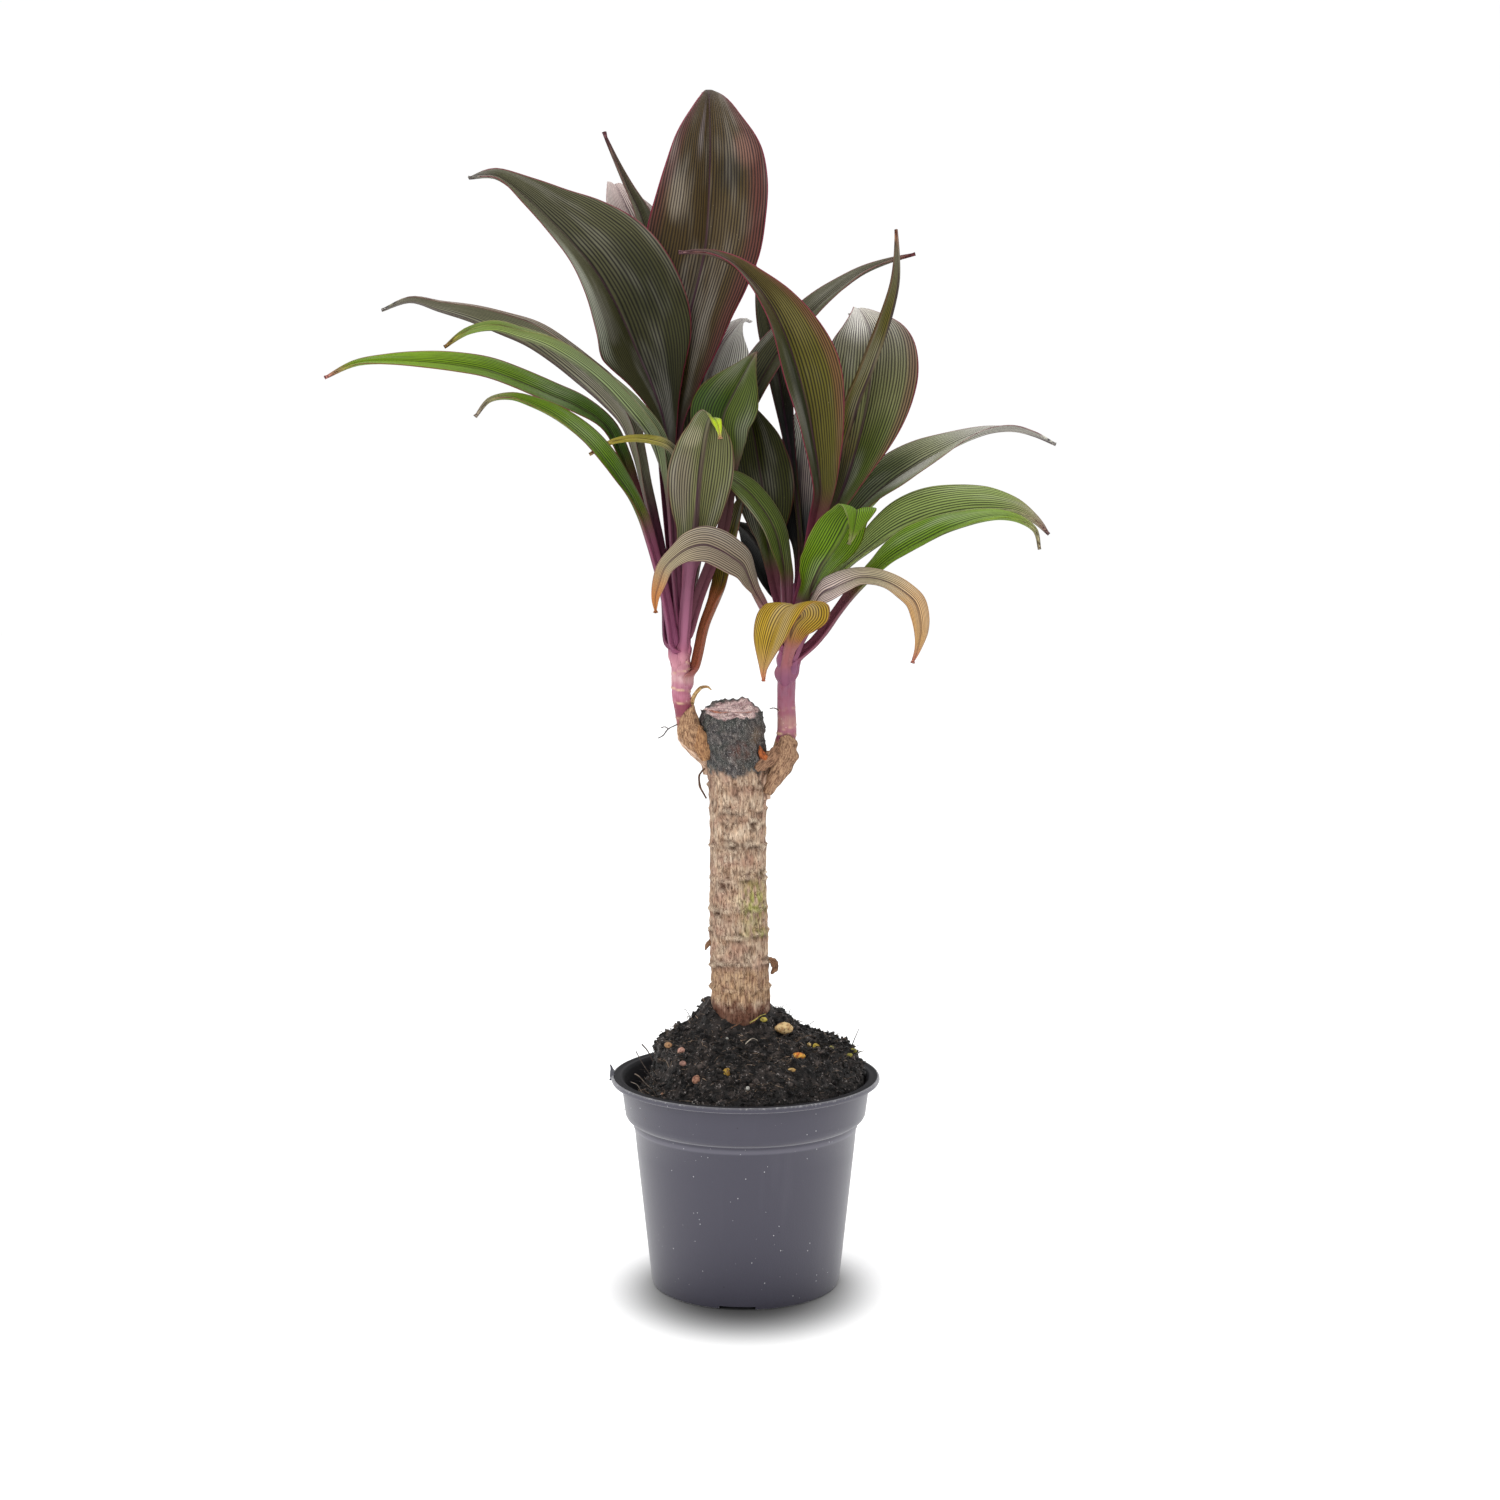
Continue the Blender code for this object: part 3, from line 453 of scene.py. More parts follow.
class SoilSettings(bpy.types.PropertyGroup):
    """Sizes and colours of the mound of peat."""

    crumbs: bpy.props.IntProperty(
        name="Crumbs", description="How many loose crumbs lie on the mound", default=6200, min=1)
    crumb_size: metres("Crumb size", "Radius of a middling crumb", 0.8 * MM)
    fibres: bpy.props.IntProperty(
        name="Fibres", description="How many fine fibres lie in the peat", default=1700, min=1)
    colour: tinted("Peat", "Colour of the peat", 17, 14, 14)


class CaneSettings(bpy.types.PropertyGroup):
    """Colours of the cane and its shoots."""

    bark: tinted("Bark", "Colour of the cane's bark", 176, 148, 124)
    coat: tinted("Coat", "Colour of the dark coat on the cut end", 52, 50, 52)
    bark_depth: metres("Bark depth", "How deep the bark's fissures are", 0.35 * MM)


class LeafSettings(bpy.types.PropertyGroup):
    """Sizes and colours of the leaves."""

    thickness: metres("Blade thickness", "Thickness of a leaf's blade", 0.55 * MM)
    stalk_thickness: metres("Stalk thickness", "Thickness of a leaf's channelled stalk", 2.3 * MM)
    vein_spacing: metres("Vein spacing", "Distance between the fine veins", 1.3 * MM)
    ripple: metres("Ripple", "How far a leaf's margins wave up and down", 0.8 * MM)
    rim: tinted("Margin", "Colour of the thin margin round a leaf", 122, 30, 56)
    rib: tinted("Midrib", "Colour of a leaf's midrib", 62, 28, 48)


class StageSettings(bpy.types.PropertyGroup):
    """The camera, the light and the floor."""

    camera_height: metres("Camera height", "Height of the camera above the floor", 0.336)
    camera_distance: metres("Camera distance", "From the camera to the pot's middle plane", 0.960)
    camera_tilt: bpy.props.FloatProperty(
        name="Camera tilt", description="How far the camera looks down", subtype="ANGLE",
        default=math.radians(5.73))
    lens: bpy.props.FloatProperty(
        name="Lens", description="Focal length in millimetres", default=52.49)
    surround: bpy.props.FloatProperty(
        name="Surround", description="Strength of the even white light", default=1.01)


class TiPlantSettings(bpy.types.PropertyGroup):
    """All that a user may change."""

    pot: bpy.props.PointerProperty(type=PotSettings)
    soil: bpy.props.PointerProperty(type=SoilSettings)
    cane: bpy.props.PointerProperty(type=CaneSettings)
    leaves: bpy.props.PointerProperty(type=LeafSettings)
    stage: bpy.props.PointerProperty(type=StageSettings)


def pot_profile(pot):
    """The pot's outline as radius and height, from the foot round to the floor inside."""
    shoulder, band = pot.shoulder_height, pot.height - LIP_HEIGHT
    bead = pot.shoulder_radius + BEAD_DEPTH / 2
    deep, tall = BEAD_DEPTH / MM, BEAD_HEIGHT / MM
    # Each stretch has a corner of the pot and the steps in millimetres that round it off.
    stretches = (
        (pot.base_radius, 0.0, ((-1.6, 0.0), (-0.6, 0.12), (-0.15, 0.45), (0.0, 1.1), (0.35, 4.0))),
        (bead - BEAD_DEPTH, shoulder * 0.82, ((-0.9, 0.0),)),
        (bead, shoulder, ((-deep, -2.2 * tall), (-0.25 * deep, -1.7 * tall), (0.0, -1.2 * tall),
                          (-0.1 * deep, -0.6 * tall), (0.2, -0.1 * tall))),
        (pot.band_foot_radius, shoulder, ((-2.0, 0.5), (-0.8, 1.3), (-0.1, 2.6), (0.1, 4.2))),
        (pot.band_radius, band, ((-0.1, -1.6), (0.1, -0.7), (0.6, -0.1))),
        (pot.rim_radius, band, ((-0.9, 0.05), (-0.3, 0.35), (0.0, 1.0))),
        (pot.rim_radius, pot.height, ((-0.05, -0.9), (-0.4, -0.25), (-1.0, 0.0), (-1.7, -0.15),
                                      (-2.3, -0.5))),
        (pot.band_radius, pot.height, ((1.0, -0.55), (0.4, -0.2), (-0.2, -0.3), (-0.8, -0.9))),
        (pot.band_radius - pot.wall, pot.height, ((0.0, -2.0),)),
        (pot.band_foot_radius - pot.wall, shoulder, ((0.0, 3.6), (-1.0, 1.6))),
        (pot.shoulder_radius - pot.wall, shoulder, ((0.0, 0.0), (-0.6, -3.0))),
        (pot.base_radius - pot.wall, 0.0, ((0.0, 4.2), (-1.0, 3.2))),
    )
    return [(radius + out * MM, height + up * MM)
            for radius, height, steps in stretches for out, up in steps]


def groove_direction(i):
    """The way a groove runs out from the middle of the pot's underside."""
    turn = math.tau * i / GROOVE_COUNT + GROOVE_TURN
    return Vector((math.cos(turn), math.sin(turn), 0.0))


def cut_away(piece, cutter):
    """Subtracts a cutter from a piece and removes the cutter."""
    choose(piece)
    cut = piece.modifiers.new("Cut", "BOOLEAN")
    cut.operation = "DIFFERENCE"
    cut.solver = "EXACT"
    cut.object = cutter
    bpy.ops.object.modifier_apply(modifier=cut.name)
    bpy.data.objects.remove(cutter, do_unlink=True)


def add_groove_cutter(pot, i):
    """A block as wide as a groove under the pot, running out through its foot."""
    out = groove_direction(i)
    length = pot.base_radius + CUTTER_REACH - GROOVE_START
    middle = out * (GROOVE_START + length / 2)
    middle.z = (GROOVE_DEPTH - CUTTER_REACH) / 2
    clear_selection()
    bpy.ops.mesh.primitive_cube_add(
        size=1.0, location=middle, rotation=(0.0, 0.0, math.atan2(out.y, out.x)),
        scale=(length, GROOVE_WIDTH, GROOVE_DEPTH + CUTTER_REACH))
    return bpy.context.object


def add_drain_cutter(i):
    """A cylinder that cuts one drain hole in a groove."""
    clear_selection()
    bpy.ops.mesh.primitive_cylinder_add(
        vertices=DRAIN_SIDES, radius=DRAIN_RADIUS, depth=2 * CUTTER_REACH,
        location=groove_direction(i) * DRAIN_PLACE)
    return bpy.context.object


def model_pot(pot):
    """Raises the pot from a disc: ring by ring up the outside, over the lip and down the inside."""
    clear_selection()
    profile = pot_profile(pot)
    bpy.ops.mesh.primitive_circle_add(
        vertices=POT_SIDES, radius=profile[0][0], fill_type="NGON", location=(0.0, 0.0, 0.0))
    body = named("nursery_pot")
    switch_to("EDIT")
    bpy.ops.mesh.select_mode(type="FACE")
    for (radius, height), (next_radius, next_height) in zip(profile, profile[1:]):
        rise = (0.0, 0.0, next_height - height)
        bpy.ops.mesh.extrude_region_move(TRANSFORM_OT_translate={"value": rise})
        growth = next_radius / radius
        bpy.ops.transform.resize(
            value=(growth, growth, 1.0), center_override=(0.0, 0.0, next_height))
    switch_to("OBJECT")
    merge_doubles(body)
    for i in range(GROOVE_COUNT):
        cut_away(body, add_groove_cutter(pot, i))
    for i in range(GROOVE_COUNT):
        cut_away(body, add_drain_cutter(i))
    shade(body, POT_SHARP)
    mark_painted_shade(body, pot)
    return body


def mark_painted_shade(body, pot):
    """Gives the second material, the painted shade, to faces over the shoulder that look inwards or
    top the lip.
    """
    for face in body.data.polygons:
        out = Vector((face.center.x, face.center.y, 0.0))
        flat = face.normal.z > LEVEL_RISE and out.length < pot.rim_radius - INNER_EDGE
        if face.center.z > pot.shoulder_height and (flat or face.normal.dot(out) < 0.0):
            face.material_index = 1


def make_painted_shade_plastic():
    """The pot's inner side and the lip's flat top, painted dark: painted shade for the shade of the
    peat and the wall across from it.
    """
    look = Look("pot_inside_painted_shade", Specular_IOR_Level=0.2)
    cloud = look.noise(look.place(), 90.0, 3.0)
    look.colour = srgb(20, 19, 22)
    look.lay(cloud * 0.5, (44, 43, 48))
    return look.finish(Roughness=0.7 + cloud * 0.1)


def make_plastic(pot):
    """Matt grey-violet plastic with faint flow marks, scuffs, sparse pale dust, painted highlights
    and painted shade.
    """
    look = Look("pot_plastic", Specular_IOR_Level=0.42, Sheen_Weight=0.42, Sheen_Roughness=0.45)
    place = look.place()
    x, y, height = look.parts(place)
    cloud = look.noise(place, 38.0, 4.0, 0.6)
    streak = look.noise(look.stretch(place, (120.0, 120.0, 9.0)), 1.0, 3.0)
    look.colour = pot.colour
    look.lay(cloud * 0.4, (71, 69, 82))
    look.lay(look.step(streak, 0.55, 0.8) * 0.2, (80, 78, 90))
    # Painted highlight: a lighter line along the bead under the shoulder.
    bead = look.step(abs(height - (pot.shoulder_height - 1.3 * BEAD_HEIGHT)), 1.5 * MM, 0.3 * MM)
    look.lay(bead * 0.4, (118, 116, 128))
    # Painted highlight: a lighter band round the top of the lip, where worn pale specks also lie.
    edge = look.step(height, pot.height - 1.0 * MM, pot.height - 0.3 * MM)
    look.lay(edge * 0.35, (104, 104, 108))
    wear = look.step(look.noise(place, 900.0, 2.0), 0.5, 0.75)
    look.lay(edge * wear * 0.6, (170, 170, 170))
    # Painted shade: the lip's flat top, inside its outer edge, is darkened.
    out = (x * x + y * y) ** 0.5
    flat = look.step(height, pot.height - 1.0 * MM, pot.height - 0.7 * MM)
    flat = flat * look.step(out, pot.rim_radius - 0.8 * MM, pot.rim_radius - 1.8 * MM)
    look.lay(flat * 0.85, (38, 37, 43))
    dust = look.cells(place, 300.0)
    sparse = look.step(look.noise(place, 30.0, 2.0), 0.4, 0.6)
    specks = look.step(dust, 0.075, 0.055) * sparse
    look.lay(specks * 0.9, (214, 214, 218))
    dark = look.step(look.cells(look.shift(place, (0.013, 0.0, 0.0)), 120.0), 0.05, 0.03)
    look.lay(dark * 0.6, (36, 34, 40))
    grain = look.noise(place, 1500.0, 3.0, 0.6)
    rough = 0.46 + cloud * 0.1 + specks * 0.2
    bump = look.bump(grain + streak * 0.6 + specks * 2.0, 0.05 * MM)
    return look.finish(Roughness=rough, Normal=bump)


class TI_PLANT_OT_pot(bpy.types.Operator):
    """Model the nursery pot."""

    bl_idname = "ti_plant.pot"
    bl_label = "Pot"

    def execute(self, context):
        pot = context.scene.ti_plant.pot
        plastic = make_plastic(pot)
        settle(model_pot(pot), "pot", ("pot",), plastic, make_painted_shade_plastic())
        tear = model_scrap("lip_tear", LIP_TEAR, LIP_TEAR_HALVES, LIP_TEAR_CUP)
        settle(tear, "pot", (), plastic)
        return {"FINISHED"}


CANE_ROUND = 176
CANE_RINGS = 330
CANE_BARK_FOOT = 112.0 * MM
CUT_HEIGHT = 257.0 * MM
CUT_SLOPE = 0.25
CUT_RINGS = 16
CUT_SPREAD = 0.96
CUT_EDGE_FOOT = 252.0 * MM
CUT_EDGE_RISE = 5.0 * MM
CUT_EDGE_DEPTH = 0.9 * MM
LEAN_FOOT = 236.0 * MM
LEAN_RISE = 21.0 * MM
COAT_FOOT = 230.5 * MM
FOOT_SHARE = 0.03

# Leaf scars that ring the cane, by height and how pale they are.
SCARS = ((225, 0.5), (214, 0.6), (198.4, 0.7), (183, 0.9), (170.5, 1.0), (159.2, 0.9),
         (145.6, 1.2), (134, 0.7))

# Knots on the cane's front: the place across, the height and the radius.
KNOTS = ((3.3, 207.7, 2.7), (-5.5, 197.6, 2.2), (-7.4, 192.6, 1.6), (-10.0, 180.5, 2.4),
         (6.5, 197.0, 1.5), (-1.0, 198.6, 1.9), (-12.0, 168.0, 1.6), (7.0, 186.0, 1.4))
KNOT_SQUASH = 1.25

# Patches in the bark and in the coat, one over the other: the colour in screen values, how much
# of it there is, how uneven it is, its size in millimetres, how tall it is and its strength.
PALE_BARK = (222, 206, 184)
DARK_BARK = (74, 54, 44)
# The brown under each scar ridge: partly the ring's own colour and partly painted shade.
SCAR_AND_SHADE_BARK = (118, 84, 64)
BARK_PATCHES = (
    ((126, 94, 74), 0.4, 1.6, 6.5, 1.3, 0.5),
    (PALE_BARK, 0.5, 1.5, 1.1, 4.0, 0.35),
    (PALE_BARK, 0.3, 1.4, 4.5, 0.7, 0.35),
    ((158, 118, 104), 0.35, 1.4, 7.0, 0.6, 0.5),
)
COAT_PATCHES = (
    ((96, 90, 88), 0.4, 1.8, 2.2, 1.0, 0.7),
    ((150, 142, 136), -0.7, 2.4, 0.8, 1.0, 0.7),
    ((26, 24, 26), -0.2, 2.0, 1.5, 1.0, 0.8),
    ((46, 56, 50), 0.3, 1.5, 5.0, 1.0, 0.5),
)
ALGAE = (150, 154, 72)

# Single patches on the cane: the place across, the height and the reach each way.
ALGAE_PATCH = (4.0, 173.0, 5.5, 9.0)
ALGAE_BAND = (6.5, 159.5, 6.0, 1.6)
WARM_PATCH = (-2.0, 241.0, 5.0, 5.0)
BARE_PATCH = (4.5, 248.0, 2.2, 4.0)

# The lump on the cut end: its place across and back, and its radius.
CUT_LUMP = (-1.0, 8.0, 4.0)
CUT_LUMP_SQUASH = 0.6

# Heights in millimetres: the striped part of the cane, and where soil has stained it.
STRIPES_FOOT = 127.0
STRIPES_TOP = 144.0
STRIPES_EDGE = 2.5
STAIN_TOP = 130.0


def add_tube(name, around, rings, capped=True):
    """An upright unit tube whose sides are cut into level rings, ready to be bent."""
    clear_selection()
    fill = "NGON" if capped else "NOTHING"
    bpy.ops.mesh.primitive_cylinder_add(
        vertices=around, radius=1.0, depth=1.0, end_fill_type=fill, location=(0.0, 0.0, 0.5))
    piece = named(name)
    bpy.ops.object.transform_apply(location=True, rotation=False, scale=False)
    cut_rings(piece, rings - 1)
    return piece


def inset_top(piece, steps):
    """Fills a tube's top with rings that close in on its middle."""
    choose(piece)
    deselect_all("FACE")
    for face in piece.data.polygons:
        face.select = face.normal.z > 0.9 and len(face.vertices) > 4
    switch_to("EDIT")
    for _ in range(steps):
        bpy.ops.mesh.inset(thickness=CUT_SPREAD / steps)
    switch_to("OBJECT")


def scar_line(place, height):
    """How far above a leaf scar a place is; the scar wanders up and down round the cane."""
    here = Vector((place.x, place.y, height * 0.5))
    wander = 2.0 * rough(here, 8.0 * MM) + 0.7 * rough(here, 2.2 * MM)
    return place.z / MM - height - wander


def scar_patch(place, height):
    """How a leaf scar is broken up round the cane, from -1 to 1."""
    return rough(Vector((place.x, place.y, height * MM)), 6.0 * MM)


def knot_gap(place, x, height):
    """How far a place is from a knot's middle, in millimetres."""
    return math.hypot(place.x / MM - x, (place.z / MM - height) * KNOT_SQUASH)


def patch_at(place, x, height, wide, tall):
    """How strongly a single patch on the cane shows at a place."""
    return bump_at(place.x / MM - x, wide) * bump_at(place.z / MM - height, tall)


def coat_share(place):
    """0 on bare bark and 1 on the dark coat at the cane's end."""
    edge = COAT_FOOT + 4.0 * MM * rough(place, 5.0 * MM) + 2.0 * MM * rough(place, 1.6 * MM)
    return ease((place.z - edge) / (1.5 * MM) + 0.5)


def cane_relief(place, out, depth):
    """How far the bark stands out or is sunk at a place on the cane's side, in metres."""
    ridge = abs(rough(place, 2.6 * MM, 3.0))
    relief = depth * (min(1.0, ridge * 3.2) - 0.75)
    relief += 0.9 * depth * rough(place, 1.3 * MM, 1.3) + 1.2 * depth * rough(place, 5.0 * MM)
    for height, strength in SCARS:
        above = scar_line(place, height)
        patchy = max(0.2, 0.6 + 0.9 * scar_patch(place, height))
        swell = 1.9 * bump_at(above, 0.6) - 0.7 * bump_at(above - 1.5, 0.8)
        relief += MM * strength * patchy * swell
    if out.y < 0.0:
        for x, height, radius in KNOTS:
            gap = knot_gap(place, x, height)
            relief += MM * (bump_at(gap - radius, 0.6) - 1.1 * bump_at(gap, radius * 0.6))
    coat = coat_share(place)
    lumps = 1.9 * rough(place, 4.6 * MM) + 1.1 * rough(place, 1.9 * MM)
    lumps += 0.5 * rough(place, 0.9 * MM)
    return relief * (1.0 - coat) + coat * MM * lumps * 0.8


def cane_colour(place, relief, cane):
    """The colour of the cane's side at a place."""
    pale, dark, scar = (Vector(srgb(*colour)) for colour in (PALE_BARK, DARK_BARK, SCAR_AND_SHADE_BARK))
    tone = Vector(cane.bark)
    for patch in BARK_PATCHES:
        tone = mottle(tone, place, *patch)
    # Painted shade: the bark is darkened where it is sunk, in its fissures and hollows.
    tone = tone.lerp(dark, ease(-relief / (0.3 * MM) - 0.7) * 0.55)
    crack = ease(1.0 - abs(rough(place, 3.6 * MM, 2.0)) / 0.08)
    tone = tone.lerp(dark, crack * 0.75 * ease(0.45 + 1.7 * rough(place, 8.0 * MM)))
    tone = mottle(tone, place, DARK_BARK, -0.7, 2.4, 2.4, 0.6, 0.7)
    front = 1.0 if place.y < 0 else 0.0
    for x, height, radius in KNOTS:
        gap = knot_gap(place, x, height)
        tone = tone.lerp(dark, 0.85 * front * bump_at(gap, radius * 0.55))
        tone = tone.lerp(dark, 0.6 * front * bump_at(gap - radius - 0.5, 0.35))
        tone = tone.lerp(pale, 0.7 * front * bump_at(gap - radius + 0.2, 0.4))
    # Under each scar ridge a brown band and a dark line, partly the ring's own colour and partly
    # painted shade beneath the ridge; on the ridge a pale line.
    for height, strength in SCARS:
        above = scar_line(place, height)
        patchy = ease(0.75 + 1.6 * scar_patch(place, height))
        tone = tone.lerp(scar, strength * 0.45 * patchy * bump_at(above + 2.4, 1.6))
        tone = tone.lerp(dark, min(1.0, strength + 0.2) * 0.9 * patchy * bump_at(above + 1.1, 0.6))
        tone = tone.lerp(pale, min(1.0, strength) * 0.6 * patchy * bump_at(above, 0.6))
    return foot_colour(tone, place)


def foot_colour(tone, place):
    """The cane's colour with stripes low down and a brown stain by the soil."""
    height = place.z / MM
    striped = ease((STRIPES_TOP - height) / STRIPES_EDGE)
    striped *= ease((height - STRIPES_FOOT) / STRIPES_EDGE)
    stripes = mottle(Vector(srgb(192, 158, 118)), place, (116, 80, 54), 0.25, 2.2, 0.9, 4.5, 1.0)
    stained = ease((STAIN_TOP - height) / 5.0 + 1.3 * rough(place, 3.0 * MM))
    return blend(tone.lerp(stripes, striped * 0.5), (96, 60, 46), stained * 0.9)


def algae_share(place):
    """How green the bark is at a place on the cane's right front."""
    green = patch_at(place, *ALGAE_PATCH) + 0.9 * patch_at(place, *ALGAE_BAND)
    front = ease(-place.y / (4.0 * MM))
    return min(1.0, green * front) * ease(0.62 + 1.4 * rough(place, 1.7 * MM, 2.0))


def coat_colour(place, cane):
    """The colour of the dark coat on the cane's end, with a warm patch and a bare one."""
    tone = Vector(cane.coat)
    for patch in COAT_PATCHES:
        tone = mottle(tone, place, *patch)
    warm = patch_at(place, *WARM_PATCH) * ease(0.5 + rough(place, 2.0 * MM))
    tone = blend(tone, (96, 62, 52), warm * 0.9)
    return blend(tone, (120, 100, 80), patch_at(place, *BARE_PATCH) * 0.7)


def cut_colour(place):
    """The colour of the slanted cut face."""
    x, y = place.x / MM, place.y / MM
    grain = ease(0.5 + 1.6 * noise.noise(Vector((x / 3.2, y / 1.1, 4.0))))
    tone = blend(Vector(srgb(186, 156, 158)), (236, 216, 212), grain)
    tone = mottle(tone, place, (104, 82, 84), 0.25, 1.7, 2.3, 1.0, 0.6)
    streak = bump_at(y + 1.5 + 0.12 * x, 1.1) * ease(0.6 + rough(place, 4.0 * MM))
    return blend(tone, (196, 112, 62), streak * 0.9)


def cut_lump(place, x, y, radius):
    """How strongly the lump on the cut end shows at a place."""
    return bump_at(math.hypot(place.x / MM - x, (place.y / MM - y) * CUT_LUMP_SQUASH), radius)


def model_cane(cane):
    """The cane: a ringed tube given bark, scars, knots, a dark coated end and a slanted cut."""
    sections = node_sections("cane")
    foot = sections[0][0]
    piece = add_tube("old_cane", CANE_ROUND, CANE_RINGS)
    inset_top(piece, CUT_RINGS)
    tones, coats = add_attributes(piece.data, ("tone",), ("coat",))
    for k, vertex in enumerate(piece.data.vertices):
        flat = Vector((vertex.co.x, vertex.co.y, 0.0))
        inward = flat.length
        out = flat.normalized()
        share = vertex.co.z
        if share < FOOT_SHARE:
            height = foot + (CANE_BARK_FOOT - foot) * share / FOOT_SHARE
        else:
            above = (share - FOOT_SHARE) / (1.0 - FOOT_SHARE)
            height = CANE_BARK_FOOT + (CUT_HEIGHT - CANE_BARK_FOOT) * above
        x, y, radius = section_at(sections, min(height, sections[-1][0]))
        radius -= CUT_EDGE_DEPTH * ease((height - CUT_EDGE_FOOT) / CUT_EDGE_RISE)
        place = Vector((x, y, height)) + out * radius
        relief = cane_relief(place, out, cane.bark_depth)
        spot = Vector((x, y, height)) + out * (radius + relief) * inward
        lean = ease((height - LEAN_FOOT) / LEAN_RISE)
        spot.z += lean * (CUT_SLOPE * spot.y + 1.3 * MM * rough(spot, 7.0 * MM))
        lump = cut_lump(spot, *CUT_LUMP)
        rim = ease((inward - 0.6) / 0.25) if share > 0.999 else 1.0
        spot.z += lean * MM * rim * (2.6 * lump + 1.4 * rough(spot, 2.2 * MM))
        coat = coat_share(place)
        tone = cane_colour(place, relief, cane)
        tone = blend(tone, ALGAE, algae_share(place) * 0.85)
        tone = tone.lerp(coat_colour(place, cane), coat)
        if share > 0.999 and inward < 0.999:
            face = ease((0.93 + 0.12 * rough(spot, 5.0 * MM) - inward) / 0.08)
            tone = tone.lerp(cut_colour(spot), face)
            coat *= 1.0 - face
            spot.z += face * 0.35 * MM * rough(spot, 1.4 * MM) - 0.5 * MM * face
        vertex.co = spot
        tones[k].color = (*tone, 1.0)
        coats[k].value = coat
    shade(piece)
    return piece


def make_bark():
    """Bark and coat coloured by the piece, with fine flakes, fissures and pale scratches."""
    look = Look("cane_bark", Specular_IOR_Level=0.25)
    place = look.place()
    coat = look.attribute("coat")
    fine = look.noise(look.stretch(place, (1.0, 1.0, 0.45)), 1300.0, 3.0, 0.7)
    flakes = look.cells(look.stretch(place, (1.0, 1.0, 0.5)), 900.0)
    look.colour = look.attribute("tone", "Color")
    fibre = look.noise(look.stretch(place, (1.0, 1.0, 0.11)), 1900.0, 3.0, 0.6)
    look.dye(look.step(fibre, 0.5, 0.68) * 0.7, (0.5, 0.42, 0.38))
    look.dye(look.step(fibre, 0.5, 0.36) * 0.6, (1.56, 1.54, 1.5))
    vein = look.noise(look.stretch(place, (1.0, 1.0, 0.4)), 330.0, 4.0, 0.65, 0.6)
    crack = look.step(abs(vein - 0.5), 0.028, 0.008) * look.step(fine, 0.4, 0.55)
    look.dye(crack * 0.85 * (1.0 - coat), (0.26, 0.19, 0.16))
    blotch = look.step(look.noise(look.shift(place, (0.3, 0.1, 0.0)), 520.0, 4.0, 0.7), 0.56, 0.68)
    look.dye(blotch * 0.6, (0.52, 0.44, 0.4))
    look.dye(look.step(fine, 0.35, 0.7) * 0.5, (0.55, 0.5, 0.46))
    look.dye(look.step(fine, 0.52, 0.3) * 0.35, (1.3, 1.28, 1.24))
    scratch = look.noise(look.stretch(place, (900.0, 900.0, 260.0)), 1.0, 2.0, 0.5, 2.5)
    scratches = look.step(abs(scratch - 0.5), 0.012, 0.004) * coat
    look.lay(scratches * 0.85, (176, 172, 168))
    specks = look.step(flakes, 0.16, 0.08) * coat
    look.lay(specks * 0.7, (190, 184, 180))
    roughness = 0.9 - coat * 0.25 + fine * 0.06
    bump = look.bump(fine + flakes * 0.4, 0.25 * MM)
    return look.finish(Roughness=roughness, Normal=bump)


